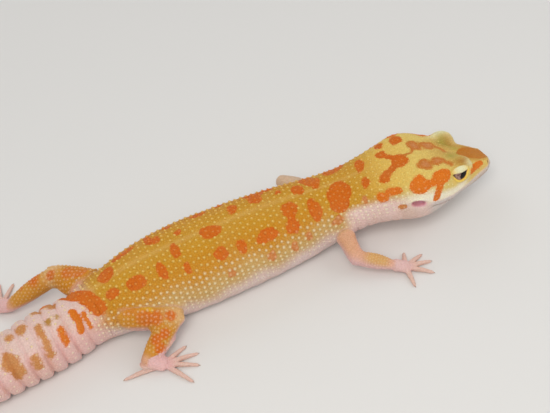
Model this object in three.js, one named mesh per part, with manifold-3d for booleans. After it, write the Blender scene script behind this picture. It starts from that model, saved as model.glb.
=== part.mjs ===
// A leopard gecko lying on its belly and tail with the head a little raised, life size, in millimetres.
// +X runs along the trunk towards the head, +Z is up, and the animal's left side faces +Y.
// The body is one loft along a spine curve, parted by thin cuts where its parts are named.
import * as THREE from 'three';
import { LoftGeometry } from 'three/addons/geometries/LoftGeometry.js';
import * as BufferGeometryUtils from 'three/addons/utils/BufferGeometryUtils.js';
import Module from 'manifold-3d';

const wasm = await Module();
wasm.setup();

const jointGap = 0.3;
const floorLevel = 0;
const weldDistance = 1e-5;

// Places along the spine, measured back from the snout tip, where the body is parted.
const headEnd = 31;
const neckEnd = 47;
const trunkMiddle = 89;
const trunkEnd = 130;
const tailFirstEnd = 156;
const tailSecondEnd = 185;

// Each eye: its radius, and its centre from the snout tip, the midline and the spine.
const eye = { radius: 3.5, at: 14.3, aside: 6.5, rise: 4.2 };
// The brow and lids are a bulge round the eye, with an almond opening cut outwards through it.
const brow = { size: new THREE.Vector3(4.8, 4.2, 4.8), ahead: -0.2, aside: 0.1, above: 0.4 };
const lids = { length: 7.4, arch: 3.8, sag: 7, ahead: 0.1, above: 0.3, depth: 9 };
// How far behind the middle the upper lid peaks, and how far ahead of it the lower lid is deepest,
// as shares of half the opening.
const lidPeaks = { upper: 0.3, lower: 0.2 };
// The ear is a shallow pit behind the corner of the mouth.
const ear = { size: new THREE.Vector3(1.7, 1.3, 1.4), at: 28.2, aside: 14.6, rise: 0.3 };

// The spine, from the snout tip to the tail tip, at the level where the body is widest.
const spine = new THREE.CatmullRomCurve3([
  new THREE.Vector3(123.8, -6.3, 9),
  new THREE.Vector3(114, -5.8, 11),
  new THREE.Vector3(101, -4.6, 13.6),
  new THREE.Vector3(88.5, -2.6, 13.8),
  new THREE.Vector3(74, 0.6, 11.8),
  new THREE.Vector3(45, 2.4, 10.4),
  new THREE.Vector3(18, 2.6, 9.8),
  new THREE.Vector3(0, 1.3, 9),
  new THREE.Vector3(-14, -1.3, 8.4),
  new THREE.Vector3(-34, -5.7, 8.6),
  new THREE.Vector3(-54, -9.2, 7),
  new THREE.Vector3(-71, -10.7, 3.9),
  new THREE.Vector3(-86, -8.3, 1.4),
]);
const spineDivisions = 600;
spine.arcLengthDivisions = spineDivisions;
const bodyLength = spine.getLength();

// Body sizes along the spine: half width, rise above the spine, drop below it, and how square the
// upper half of the section is, where 2 is a plain ellipse.
const headShape = [
  { at: 0, half: 1.8, rise: 1.5, drop: 1.3, square: 2.3 },
  { at: 1.2, half: 3.7, rise: 3, drop: 2.2, square: 2.4 },
  { at: 4, half: 5.5, rise: 4.4, drop: 3.3, square: 2.5 },
  { at: 8, half: 7.4, rise: 5.8, drop: 4.8, square: 2.6 },
  { at: 13, half: 9.5, rise: 7.1, drop: 6.5, square: 2.8 },
  { at: 17.5, half: 11.6, rise: 8.3, drop: 8.2, square: 3 },
  { at: 23, half: 14, rise: 9.7, drop: 9.7, square: 3.1 },
  { at: 28, half: 14.6, rise: 10.5, drop: 10.2, square: 3.1 },
  { at: 34, half: 13, rise: 9.6, drop: 9.8, square: 2.8 },
];
const trunkShape = [
  { at: 42, half: 11.5, rise: 8.4, drop: 9.2, square: 2.4 },
  { at: 51, half: 11.4, rise: 8, drop: 10.4, square: 2.1 },
  { at: 65, half: 13.2, rise: 8.9, drop: 12.6, square: 2.1 },
  { at: 83, half: 15, rise: 10, drop: 12.8, square: 2.1 },
  { at: 101, half: 15.4, rise: 10.4, drop: 12.4, square: 2.1 },
  { at: 115, half: 13.7, rise: 9.9, drop: 11.2, square: 2.1 },
  { at: 126, half: 10.9, rise: 8.3, drop: 9.8, square: 2.1 },
];
const tailTipRounding = 1.5;
const tailShape = [
  { at: 135, half: 8.9, rise: 7.3, drop: 8.9, square: 2.1 },
  { at: 141, half: 9.4, rise: 7.9, drop: 9.2, square: 2.1 },
  { at: 149, half: 9.5, rise: 8.4, drop: 9.2, square: 2.1 },
  { at: 161, half: 8.5, rise: 7.6, drop: 8.6, square: 2.1 },
  { at: 176, half: 7, rise: 6, drop: 7, square: 2.1 },
  { at: 191, half: 5.3, rise: 4.3, drop: 5, square: 2.1 },
  { at: 204, half: 2.8, rise: 2.2, drop: 2.6, square: 2.1 },
  { at: bodyLength - tailTipRounding, half: 1.3, rise: 1, drop: 1.4, square: 2.1 },
  { at: bodyLength, half: 0.5, rise: 0.4, drop: 0.6, square: 2.1 },
];
const bodyShape = [...headShape, ...trunkShape, ...tailShape];
const stationValues = bodyShape.map(({ half, rise, drop, square }) => [half, rise, drop, square]);
const shapeCurve = new THREE.CubicInterpolant(
  bodyShape.map((station) => station.at),
  stationValues.flat(),
  stationValues[0].length,
);

// The body's section is a superellipse, squarer below, where the belly spreads on the floor.
const lowerSquareness = 2.7;
const bodySides = 26;

// About how far apart the rings of each length of the body are.
const ringStep = { head: 2.7, neck: 4, trunk: 6, tailBase: 4, tailMiddle: 5, tailTip: 4, socket: 5 };

// Legs: the radii of both pairs, and each leg's joints and the tips of its five toes on the floor.
const foreSizes = { root: 3.6, upper: 3.2, joint: 2.9, lower: 2.8, ankle: 2, palm: 2.3 };
const hindSizes = { root: 6.6, upper: 5.6, joint: 3.9, lower: 3.5, ankle: 2.5, palm: 2.6 };
const footFlatness = 0.62;
// How far the middle of each bone's length rises above a straight line.
const limbArch = 0.3;
// How much of a ring's share is left off a limb's rounded end, so that it closes in a small flat.
const limbEndBlunting = 0.3;
// The lower limb starts a little inside the upper one's end.
const lowerSlimming = 0.92;
const limbFacets = { sides: 12, steps: 5, roundSteps: 2 };
const soleFacets = { sides: 12, steps: 3, roundSteps: 2 };
const toeFacets = { sides: 5, steps: 3, roundSteps: 1 };
const ballFacets = { around: 14, rings: 9 };
const lidCurveSteps = 7;
const toe = { radius: 0.85, knuckleShare: 0.5, knuckleHeight: 1.05, tipRadius: 0.53, tipHeight: 0.47 };
const legs = [
  {
    upper: 'right_upper_arm',
    lower: 'right_forearm',
    foot: 'right_hand',
    sizes: foreSizes,
    root: new THREE.Vector3(72, -7.5, 9),
    joint: new THREE.Vector3(71.6, -19, 5.2),
    ankle: new THREE.Vector3(80.3, -25, 3),
    palm: new THREE.Vector3(83.8, -26.2, 1.4),
    toeTips: [[86, -20.6], [90, -23.8], [91.2, -27.4], [89.8, -31.6], [83, -33.4]],
  },
  {
    upper: 'left_upper_arm',
    lower: 'left_forearm',
    foot: 'left_hand',
    sizes: foreSizes,
    root: new THREE.Vector3(72, 8, 9),
    joint: new THREE.Vector3(64.4, 21.6, 8.8),
    ankle: new THREE.Vector3(72.4, 20.6, 3),
    palm: new THREE.Vector3(76, 20.2, 1.4),
    toeTips: [[80, 16.4], [82.6, 19], [82.8, 22], [80.6, 24.8], [74.8, 25.6]],
  },
  {
    upper: 'right_thigh',
    lower: 'right_shin',
    foot: 'right_foot',
    sizes: hindSizes,
    root: new THREE.Vector3(2.5, -5, 9.6),
    joint: new THREE.Vector3(15.4, -13.8, 7.2),
    ankle: new THREE.Vector3(3.8, -21.6, 3.4),
    palm: new THREE.Vector3(7.6, -23.4, 1.6),
    toeTips: [[15, -20], [17.4, -24.2], [16.4, -28.2], [13.2, -32.8], [-4, -22.4]],
  },
  {
    upper: 'left_thigh',
    lower: 'left_shin',
    foot: 'left_foot',
    sizes: hindSizes,
    root: new THREE.Vector3(-1, 7, 7.8),
    joint: new THREE.Vector3(-13.6, 21, 9.4),
    ankle: new THREE.Vector3(-29.6, 22.4, 3.4),
    palm: new THREE.Vector3(-33.6, 26, 1.6),
    toeTips: [[-25.8, 30.4], [-28.4, 34.6], [-32.6, 37], [-38.4, 35.6], [-42.4, 27]],
  },
];

function spineFrame(at) {
  const along = THREE.MathUtils.clamp(at / bodyLength, 0, 1);
  const centre = spine.getPointAt(along);
  const forward = spine.getTangentAt(along).negate();
  const left = new THREE.Vector3(0, 0, 1).cross(forward).normalize();
  const up = forward.clone().cross(left);
  return { centre, forward, left, up };
}

// A place given from the snout tip, the midline and the spine.
function bodyPoint(at, leftward, upward) {
  const frame = spineFrame(at);
  return frame.centre.addScaledVector(frame.left, leftward).addScaledVector(frame.up, upward);
}

function superPower(value, squareness) {
  return Math.sign(value) * Math.abs(value) ** (2 / squareness);
}

// One ring of the body, flattened where it meets the floor.
function bodySection(at, growth) {
  const [half, rise, drop, square] = shapeCurve.evaluate(at);
  const ring = [];
  for (let side = 0; side < bodySides; side += 1) {
    const angle = (2 * Math.PI * side) / bodySides;
    const above = Math.sin(angle) > 0;
    const squareness = above ? square : lowerSquareness;
    const reach = above ? rise : drop;
    const aside = -(half + growth) * superPower(Math.cos(angle), squareness);
    const height = (reach + growth) * superPower(Math.sin(angle), squareness);
    const point = bodyPoint(at, aside, height);
    point.z = Math.max(point.z, floorLevel - growth);
    ring.push(point);
  }
  return ring;
}

function solidOf(geometry) {
  const bare = new THREE.BufferGeometry();
  bare.setAttribute('position', geometry.attributes.position);
  bare.setIndex(geometry.index);
  const merged = BufferGeometryUtils.mergeVertices(bare, weldDistance);
  return new wasm.Manifold(new wasm.Mesh({
    numProp: 3,
    vertProperties: merged.attributes.position.array,
    triVerts: Uint32Array.from(merged.index.array),
  }));
}

function geometryOf(solid) {
  const mesh = solid.getMesh();
  const geometry = new THREE.BufferGeometry();
  geometry.setAttribute('position', new THREE.BufferAttribute(mesh.vertProperties, mesh.numProp));
  geometry.setIndex(new THREE.BufferAttribute(mesh.triVerts, 1));
  const faceted = geometry.toNonIndexed();
  faceted.computeVertexNormals();
  return faceted;
}

function loftSolid(sections) {
  return solidOf(new LoftGeometry(sections, { closed: true, capStart: true, capEnd: true }));
}

// A length of the body between two places on the spine, in rings spaced by about the given step.
function bodyLoft(from, to, step, growth = 0) {
  const count = Math.ceil((to - from) / step);
  const sections = [];
  for (let ring = 0; ring <= count; ring += 1) {
    sections.push(bodySection(THREE.MathUtils.lerp(from, to, ring / count), growth));
  }
  return loftSolid(sections);
}

// A round-ended limb along a route of stops, each with its place, radius and flatness.
function limbSolid(route, shape) {
  const { sides, steps, roundSteps, growth = 0 } = shape;
  const curve = new THREE.CatmullRomCurve3(route.map((stop) => stop.place));
  const sizes = new THREE.CatmullRomCurve3(
    route.map((stop) => new THREE.Vector3(stop.radius, stop.flatness ?? 1, 0)),
  );
  const sections = [];
  const addRing = (share, shrink, shift) => {
    const forward = curve.getTangent(share);
    const left = new THREE.Vector3(0, 0, 1).cross(forward).normalize();
    const up = forward.clone().cross(left);
    const size = sizes.getPoint(share);
    const radius = size.x + growth;
    const centre = curve.getPoint(share).addScaledVector(forward, radius * shift * size.y);
    const ring = [];
    for (let side = 0; side < sides; side += 1) {
      const angle = (2 * Math.PI * side) / sides;
      const point = centre.clone();
      point.addScaledVector(left, radius * shrink * Math.cos(angle));
      point.addScaledVector(up, radius * shrink * size.y * Math.sin(angle));
      point.z = Math.max(point.z, floorLevel - growth);
      ring.push(point);
    }
    sections.push(ring);
  };
  const roundAngle = (ring) => (Math.PI / 2) * (1 - (ring + limbEndBlunting) / roundSteps);
  for (let ring = 0; ring < roundSteps; ring += 1) {
    addRing(0, Math.cos(roundAngle(ring)), -Math.sin(roundAngle(ring)));
  }
  for (let ring = 0; ring <= steps; ring += 1) {
    addRing(ring / steps, 1, 0);
  }
  for (let ring = roundSteps - 1; ring >= 0; ring -= 1) {
    addRing(1, Math.cos(roundAngle(ring)), Math.sin(roundAngle(ring)));
  }
  return loftSolid(sections);
}

// A ball stretched along the head's length, width and height.
function headBall(at, leftward, upward, size) {
  const frame = spineFrame(at);
  const centre = bodyPoint(at, leftward, upward);
  const geometry = new THREE.SphereGeometry(1, ballFacets.around, ballFacets.rings);
  geometry.scale(size.x, size.y, size.z);
  geometry.applyMatrix4(new THREE.Matrix4().makeBasis(frame.forward, frame.left, frame.up));
  geometry.translate(centre.x, centre.y, centre.z);
  return solidOf(geometry);
}

function eyeBall(side, growth) {
  const radius = eye.radius + growth;
  return headBall(eye.at, side * eye.aside, eye.rise, new THREE.Vector3(radius, radius, radius));
}

// The almond between the lids, as a prism from the eye's centre outwards.
function lidOpening(side) {
  const front = (-side * lids.length) / 2;
  const almond = new THREE.Shape();
  almond.moveTo(-front, 0);
  almond.quadraticCurveTo(-front * lidPeaks.upper, lids.arch, front, 0);
  almond.quadraticCurveTo(front * lidPeaks.lower, -lids.sag, -front, 0);
  const settings = { depth: lids.depth, bevelEnabled: false, curveSegments: lidCurveSteps };
  const geometry = new THREE.ExtrudeGeometry(almond, settings);
  const frame = spineFrame(eye.at);
  const outward = frame.left.clone().multiplyScalar(side);
  outward.addScaledVector(frame.forward, lids.ahead).addScaledVector(frame.up, lids.above).normalize();
  const lengthwise = frame.up.clone().cross(outward).normalize();
  const upright = outward.clone().cross(lengthwise);
  geometry.applyMatrix4(new THREE.Matrix4().makeBasis(lengthwise, upright, outward));
  const centre = bodyPoint(eye.at, side * eye.aside, eye.rise);
  geometry.translate(centre.x, centre.y, centre.z);
  return solidOf(geometry);
}

function headSolid() {
  let head = bodyLoft(0, headEnd - jointGap / 2, ringStep.head);
  for (const side of [-1, 1]) {
    const browAside = side * (eye.aside + brow.aside);
    head = head.add(headBall(eye.at + brow.ahead, browAside, eye.rise + brow.above, brow.size));
    head = head.subtract(eyeBall(side, jointGap));
    head = head.subtract(lidOpening(side));
    head = head.subtract(headBall(ear.at, side * ear.aside, ear.rise, ear.size));
  }
  return head;
}

// The foot's sole lies on the floor, with its toes spread from the middle of the palm.
function footSolid(leg) {
  const { sizes, ankle, palm } = leg;
  let foot = limbSolid([
    { place: ankle, radius: sizes.ankle * lowerSlimming },
    { place: palm, radius: sizes.palm, flatness: footFlatness },
  ], soleFacets);
  for (const [tipX, tipY] of leg.toeTips) {
    const tip = new THREE.Vector3(tipX, tipY, toe.tipHeight);
    const base = palm.clone().setZ(toe.radius);
    const knuckle = base.clone().lerp(tip, toe.knuckleShare).setZ(toe.knuckleHeight);
    foot = foot.add(limbSolid([
      { place: base, radius: toe.radius },
      { place: knuckle, radius: toe.radius },
      { place: tip, radius: toe.tipRadius },
    ], toeFacets));
  }
  return foot;
}

function between(start, end) {
  const place = start.clone().lerp(end, 0.5);
  place.z += limbArch;
  return place;
}

// A leg's three solids, each cut clear of the body and of the one it grows from.
function legSolids(leg, body) {
  const { sizes } = leg;
  const upperRoute = [
    { place: leg.root, radius: sizes.root },
    { place: between(leg.root, leg.joint), radius: sizes.upper },
    { place: leg.joint, radius: sizes.joint },
  ];
  const lowerRoute = [
    { place: leg.joint, radius: sizes.joint * lowerSlimming },
    { place: between(leg.joint, leg.ankle), radius: sizes.lower },
    { place: leg.ankle, radius: sizes.ankle },
  ];
  const grownFacets = { ...limbFacets, growth: jointGap };
  const upperGrown = limbSolid(upperRoute, grownFacets);
  const lowerGrown = limbSolid(lowerRoute, grownFacets);
  return {
    upper: limbSolid(upperRoute, limbFacets).subtract(body),
    lower: limbSolid(lowerRoute, limbFacets).subtract(body).subtract(upperGrown),
    foot: footSolid(leg).subtract(body).subtract(upperGrown).subtract(lowerGrown),
  };
}

const trunkSkin = new THREE.MeshStandardMaterial({ color: 0xd9a02c, roughness: 0.62, metalness: 0 });
const headSkin = new THREE.MeshStandardMaterial({ color: 0xe0ad45, roughness: 0.6, metalness: 0 });
const tailSkin = new THREE.MeshStandardMaterial({ color: 0xddb0a2, roughness: 0.58, metalness: 0 });
const legSkin = new THREE.MeshStandardMaterial({ color: 0xd8a25e, roughness: 0.62, metalness: 0 });
const footSkin = new THREE.MeshStandardMaterial({ color: 0xe3b3a4, roughness: 0.6, metalness: 0 });
const eyeFinish = new THREE.MeshStandardMaterial({ color: 0x6b4a3e, roughness: 0.12, metalness: 0 });

const group = new THREE.Group();

function addNode(name, solid, material) {
  const mesh = new THREE.Mesh(geometryOf(solid), material);
  mesh.name = name;
  group.add(mesh);
}

function addLength(name, from, to, step, material) {
  addNode(name, bodyLoft(from + jointGap / 2, to - jointGap / 2, step), material);
}

addNode('head', headSolid(), headSkin);
addNode('eye_right', eyeBall(-1, 0), eyeFinish);
addNode('eye_left', eyeBall(1, 0), eyeFinish);
addLength('neck', headEnd, neckEnd, ringStep.neck, trunkSkin);
addLength('trunk_front', neckEnd, trunkMiddle, ringStep.trunk, trunkSkin);
addLength('trunk_rear', trunkMiddle, trunkEnd, ringStep.trunk, trunkSkin);
addLength('tail_base', trunkEnd, tailFirstEnd, ringStep.tailBase, tailSkin);
addLength('tail_middle', tailFirstEnd, tailSecondEnd, ringStep.tailMiddle, tailSkin);
addLength('tail_tip', tailSecondEnd, bodyLength, ringStep.tailTip, tailSkin);

const bodyGrown = bodyLoft(headEnd, tailSecondEnd, ringStep.socket, jointGap);
for (const leg of legs) {
  const solids = legSolids(leg, bodyGrown);
  addNode(leg.upper, solids.upper, legSkin);
  addNode(leg.lower, solids.lower, legSkin);
  addNode(leg.foot, solids.foot, footSkin);
}

// The origin is the centre of the whole animal's footprint, at floor level.
const bounds = new THREE.Box3().setFromObject(group);
const middle = bounds.getCenter(new THREE.Vector3());
for (const mesh of group.children) {
  mesh.position.set(-middle.x, -middle.y, -bounds.min.z);
}

export default group;
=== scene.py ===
import math
import random
import bpy
import numpy as np
from mathutils import Matrix, Vector
from mathutils.bvhtree import BVHTree
from mathutils.kdtree import KDTree


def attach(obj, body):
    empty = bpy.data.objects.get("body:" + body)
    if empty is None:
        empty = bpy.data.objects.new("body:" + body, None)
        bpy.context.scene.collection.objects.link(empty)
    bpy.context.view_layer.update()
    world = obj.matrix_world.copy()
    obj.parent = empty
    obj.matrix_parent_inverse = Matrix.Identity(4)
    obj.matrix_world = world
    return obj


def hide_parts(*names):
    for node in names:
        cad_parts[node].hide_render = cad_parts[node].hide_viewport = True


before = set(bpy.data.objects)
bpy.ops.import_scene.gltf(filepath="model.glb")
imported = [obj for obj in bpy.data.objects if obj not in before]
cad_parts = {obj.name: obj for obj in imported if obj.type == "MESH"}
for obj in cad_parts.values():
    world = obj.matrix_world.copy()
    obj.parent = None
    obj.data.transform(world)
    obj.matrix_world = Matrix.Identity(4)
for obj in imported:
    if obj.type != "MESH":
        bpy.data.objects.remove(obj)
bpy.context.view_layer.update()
mm = 0.001

# Every place below is in millimetres in the row's frame. "at" runs along the spine from the snout tip,
# "turn" goes round the body in degrees: 0 on the back, 90 on the animal's right, 180 under the belly.
spinePlaces = [
    (104.74, -8.1, 9.0), (94.94, -7.6, 11.0), (81.94, -6.4, 13.6), (69.44, -4.4, 13.8),
    (54.94, -1.2, 11.8), (25.94, 0.6, 10.4), (-1.06, 0.8, 9.8), (-19.06, -0.5, 9.0),
    (-33.06, -3.1, 8.4), (-53.06, -7.5, 8.6), (-73.06, -11.0, 7.0), (-90.06, -12.5, 3.9),
    (-105.06, -10.1, 1.4),
]
# Each leg: root, joint, ankle, palm and the tips of the toes.
legPlaces = {
    "rightFore": {"chain": [(52.9, -9.3, 9), (52.5, -20.8, 5.2), (61.2, -26.8, 3), (64.7, -28, 1.4)],
                  "tips": [(66.9, -22.4), (70.9, -25.6), (72.1, -29.2), (70.7, -33.4), (63.9, -35.2)]},
    "leftFore": {"chain": [(52.9, 6.2, 9.0), (45.3, 19.8, 8.8), (53.3, 18.8, 3.0), (56.9, 18.4, 1.4)],
                 "tips": [(60.9, 14.6), (63.5, 17.2), (63.7, 20.2), (61.5, 23.0), (55.7, 23.8)]},
    "rightHind": {"chain": [(-16.6, -6.8, 9.6), (-3.7, -15.6, 7.2), (-15.3, -23.4, 3.4),
                            (-11.5, -25.2, 1.6)],
                  "tips": [(-4.1, -21.8), (-1.7, -26.0), (-2.7, -30.0), (-5.9, -34.6), (-23.1, -24.2)]},
    "leftHind": {"chain": [(-20.1, 5.2, 7.8), (-32.7, 19.2, 9.4), (-48.7, 20.6, 3.4), (-52.7, 24.2, 1.6)],
                 "tips": [(-44.9, 28.6), (-47.5, 32.8), (-51.7, 35.2), (-57.5, 33.8), (-61.5, 25.2)]},
}


def smoothStep(low, high, value):
    share = np.clip((value - low) / (high - low), 0.0, 1.0)
    return share * share * (3.0 - 2.0 * share)


def bell(value, width):
    return np.exp(-((value / width) ** 2))


def unit(vectors):
    return vectors / np.linalg.norm(vectors, axis=-1, keepdims=True)


def splineThrough(places, count):
    # A smooth curve through the places, with even knots by the square root of their spacing.
    knots = np.array(places, dtype=float)
    padded = np.vstack([2 * knots[0] - knots[1], knots, 2 * knots[-1] - knots[-2]])
    points = []
    for number in np.linspace(0, len(knots) - 1, count):
        part = min(int(number), len(knots) - 2)
        share = number - part
        before, start, end, after = padded[part:part + 4]
        gaps = [math.sqrt(np.linalg.norm(b - a)) for a, b in ((before, start), (start, end), (end, after))]
        leave = (start - before) / gaps[0] - (end - before) / (gaps[0] + gaps[1]) + (end - start) / gaps[1]
        arrive = (end - start) / gaps[1] - (after - start) / (gaps[1] + gaps[2]) + (after - end) / gaps[2]
        cube, square = share ** 3, share ** 2
        points.append((2 * cube - 3 * square + 1) * start + (cube - 2 * square + share) * leave * gaps[1]
                      + (3 * square - 2 * cube) * end + (cube - square) * arrive * gaps[1])
    return np.array(points)


spineLook = {"samples": 1200, "step": 0.25, "rounds": 5}


class Spine:
    def __init__(self, places):
        rough = splineThrough(places, spineLook["samples"])
        lengths = np.r_[0, np.cumsum(np.linalg.norm(np.diff(rough, axis=0), axis=1))]
        self.at = np.arange(0, lengths[-1], spineLook["step"])
        self.centre = np.stack([np.interp(self.at, lengths, rough[:, axis]) for axis in range(3)], 1)
        self.forward = unit(-np.gradient(self.centre, axis=0))
        self.left = unit(np.cross([0.0, 0.0, 1.0], self.forward))
        self.up = np.cross(self.forward, self.left)

    def look(self, table, at):
        return np.stack([np.interp(at, self.at, table[:, axis]) for axis in range(3)], -1)

    def coordinates(self, points):
        # Each point's place along the spine, found in a few rounds, and its offsets to the left and up.
        at = np.interp(-points[:, 0], -self.centre[:, 0], self.at)
        for _ in range(spineLook["rounds"]):
            offset = points - self.look(self.centre, at)
            at = at - np.sum(offset * self.look(self.forward, at), axis=1)
        offset = points - self.look(self.centre, at)
        aside = np.sum(offset * self.look(self.left, at), axis=1)
        rise = np.sum(offset * self.look(self.up, at), axis=1)
        return at, aside, rise

    def place(self, at, aside, rise):
        at = np.asarray(at, dtype=float)
        return (self.look(self.centre, at) + self.look(self.left, at) * np.asarray(aside)[..., None]
                + self.look(self.up, at) * np.asarray(rise)[..., None])


spine = Spine(spinePlaces)
bodyLength = spine.at[-1]
print("spine length", round(float(bodyLength), 1))


# Working helpers


def clearSelection():
    if bpy.context.object and bpy.context.object.mode != "OBJECT":
        bpy.ops.object.mode_set(mode="OBJECT")
    bpy.ops.object.select_all(action="DESELECT")


def pick(piece):
    clearSelection()
    piece.select_set(True)
    bpy.context.view_layer.objects.active = piece


def editWhole(operation, **values):
    # Runs one operation of edit mode on the whole of the active piece.
    bpy.ops.object.mode_set(mode="EDIT")
    bpy.ops.mesh.select_all(action="SELECT")
    operation(**values)
    bpy.ops.object.mode_set(mode="OBJECT")


def applyModifier(piece, kind, **values):
    pick(piece)
    modifier = piece.modifiers.new(kind.lower(), kind)
    for key, value in values.items():
        setattr(modifier, key, value)
    bpy.ops.object.modifier_apply(modifier=modifier.name)


def read(items, key, width=3, kind=np.float64):
    # One row of numbers for each of a mesh's points, corners or faces.
    flat = np.empty(len(items) * width, dtype=kind)
    items.foreach_get(key, flat)
    return flat.reshape(-1, width) if width > 1 else flat


def pointsOf(piece):
    return read(piece.data.vertices, "co") / mm


def normalsOf(piece):
    return read(piece.data.vertices, "normal")


def setPoints(piece, points):
    piece.data.vertices.foreach_set("co", (points * mm).ravel())
    piece.data.update()


def weigh(piece, name, weights, steps=20):
    # Gives the piece a vertex group in coarse steps of weight.
    group = piece.vertex_groups.new(name=name)
    levels = np.round(np.clip(weights, 0, 1) * steps).astype(int)
    for level in range(1, steps + 1):
        members = np.nonzero(levels == level)[0]
        if len(members):
            group.add(members.tolist(), level / steps, "REPLACE")
    return group.name


def smooth(piece, name, weights, rounds):
    applyModifier(piece, "SMOOTH", factor=0.5, iterations=rounds, vertex_group=weigh(piece, name, weights))


def addValues(piece, name, values):
    attribute = piece.data.attributes.new(name, "FLOAT", "POINT")
    attribute.data.foreach_set("value", np.asarray(values, dtype=np.float32))


def triangleCount(piece):
    piece.data.calc_loop_triangles()
    return len(piece.data.loop_triangles)


# Skin

skinLook = {
    "weld": 0.002,
    "growth": 0.34,         # how far each length is swelled to close the thin cuts
    "voxel": 0.25,
    "bodyDepth": 0.42,      # how far the skin lies inside the solids, under the tubercles
    "toeDepth": 0.05,
    # Balls that close each eye socket: radius, then how far ahead, up and out of the eye's centre.
    "eyeFills": [(4.0, 0, 0, 0), (2.25, 2.2, -0.6, 1.8)],
    # Smoothing before and after the skin moves inwards, and how much the feet, legs and snout are spared.
    "evenRounds": 10, "evenSpares": {"foot": 0.8, "leg": 0.3},
    "calmRounds": 110, "calmSpares": {"foot": 0.97, "leg": 0.85, "snout": 0.8},
    "legFrom": (0.6, 2.0), "legReach": 6, "footFrom": (2.0, 2.35), "footReach": 5, "snoutFrom": (21, 17),
    # The thinning, and how much finer the head and the feet stay.
    "triangles": 192000, "fineHead": (36, 33), "fineFoot": (1.9, 2.2), "finer": 0.45,
}
fleshNodes = [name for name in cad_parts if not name.startswith("eye")]
trunkNodes = ["head", "neck", "trunk_front", "trunk_rear", "tail_base", "tail_middle", "tail_tip"]


def nodeCopy(name):
    copy = bpy.data.objects.new(name + "Copy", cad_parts[name].data.copy())
    bpy.context.scene.collection.objects.link(copy)
    copy.data.materials.clear()
    pick(copy)
    editWhole(bpy.ops.mesh.remove_doubles, threshold=skinLook["weld"] * mm)
    return copy


def joined(pieces, pieceName):
    clearSelection()
    for piece in pieces:
        piece.select_set(True)
    bpy.context.view_layer.objects.active = pieces[0]
    bpy.ops.object.join()
    pieces[0].name = pieceName
    pieces[0].data.name = pieceName
    return pieces[0]


trunkOnly = joined([nodeCopy(name) for name in trunkNodes], "trunkMeasure")
trunkTree = BVHTree.FromPolygons([tuple(v.co) for v in trunkOnly.data.vertices],
                                 [tuple(p.vertices) for p in trunkOnly.data.polygons])
bpy.data.objects.remove(trunkOnly)


def segmentShare(points, start, end):
    start, end = np.array(start, dtype=float), np.array(end, dtype=float)
    span = end - start
    share = np.clip((points - start) @ span / (span @ span), 0, 1)
    return share, np.linalg.norm(points - start - share[:, None] * span, axis=1)


tipHeight = 0.7


def legCoordinates(points):
    # Each point's nearest leg, how far down it lies (0 root, 3 palm, 4 toe tip) and its gap from the axis.
    count = len(points)
    best = {"gap": np.full(count, np.inf), "down": np.zeros(count), "leg": np.zeros(count, int)}
    for number, leg in enumerate(legPlaces.values()):
        chain = leg["chain"]
        parts = [(chain[i], chain[i + 1], i) for i in range(3)]
        parts += [(chain[3], (*tip, tipHeight), 3) for tip in leg["tips"]]
        for start, end, base in parts:
            share, gap = segmentShare(points, start, end)
            nearer = gap < best["gap"]
            best["gap"][nearer] = gap[nearer]
            best["down"][nearer] = base + share[nearer]
            best["leg"][nearer] = number
    return best


def eyeFrame(side):
    # The eye's centre, and the directions along, up and out of it.
    at, aside, rise = eyeLook["place"]
    centre = spine.place(at, side * aside, rise)
    forward, left, up = (spine.look(table, at) for table in (spine.forward, spine.left, spine.up))
    out = unit(side * left + eyeLook["ahead"] * forward + eyeLook["above"] * up)
    ahead = unit(forward - (forward @ out) * out)
    return centre, ahead, unit(up - (up @ out) * out - (up @ ahead) * ahead), out


def fleshCopies():
    # The flesh nodes, swelled except for hands and feet, and the balls that close the eye sockets.
    copies = []
    for name in fleshNodes:
        copies.append(nodeCopy(name))
        if not name.endswith(("hand", "foot")):
            editWhole(bpy.ops.transform.shrink_fatten, value=skinLook["growth"] * mm)
    for side in (-1, 1):
        centre, ahead, upright, out = eyeFrame(side)
        for radius, forward, high, outward in skinLook["eyeFills"]:
            clearSelection()
            place = centre + ahead * forward + upright * high + out * outward
            bpy.ops.mesh.primitive_uv_sphere_add(segments=48, ring_count=24, radius=radius * mm,
                                                 location=place * mm)
            bpy.ops.object.transform_apply(location=True, rotation=True, scale=True)
            copies.append(bpy.context.object)
    return copies


def makeSkin():
    look = skinLook
    skin = joined(fleshCopies(), "skin")
    applyModifier(skin, "REMESH", mode="VOXEL", voxel_size=look["voxel"] * mm)
    print("remeshed", len(skin.data.vertices))
    points = pointsOf(skin)
    leg = legCoordinates(points)
    onLeg = smoothStep(*look["legFrom"], leg["down"]) * (leg["gap"] < look["legReach"])
    onFoot = smoothStep(*look["footFrom"], leg["down"]) * (leg["gap"] < look["footReach"])
    onSnout = smoothStep(*look["snoutFrom"], spine.coordinates(points)[0])
    full = look["growth"] + look["bodyDepth"]
    spares = look["evenSpares"]
    smooth(skin, "even", (1 - spares["foot"] * onFoot) * (1 - spares["leg"] * onLeg), look["evenRounds"])
    depth = full + (look["toeDepth"] - full) * onFoot
    setPoints(skin, pointsOf(skin) - normalsOf(skin) * depth[:, None])
    spares = look["calmSpares"]
    calm = (1 - spares["foot"] * onFoot) * (1 - spares["leg"] * onLeg) * (1 - spares["snout"] * onSnout)
    smooth(skin, "calm", calm, look["calmRounds"])
    return skin


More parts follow.
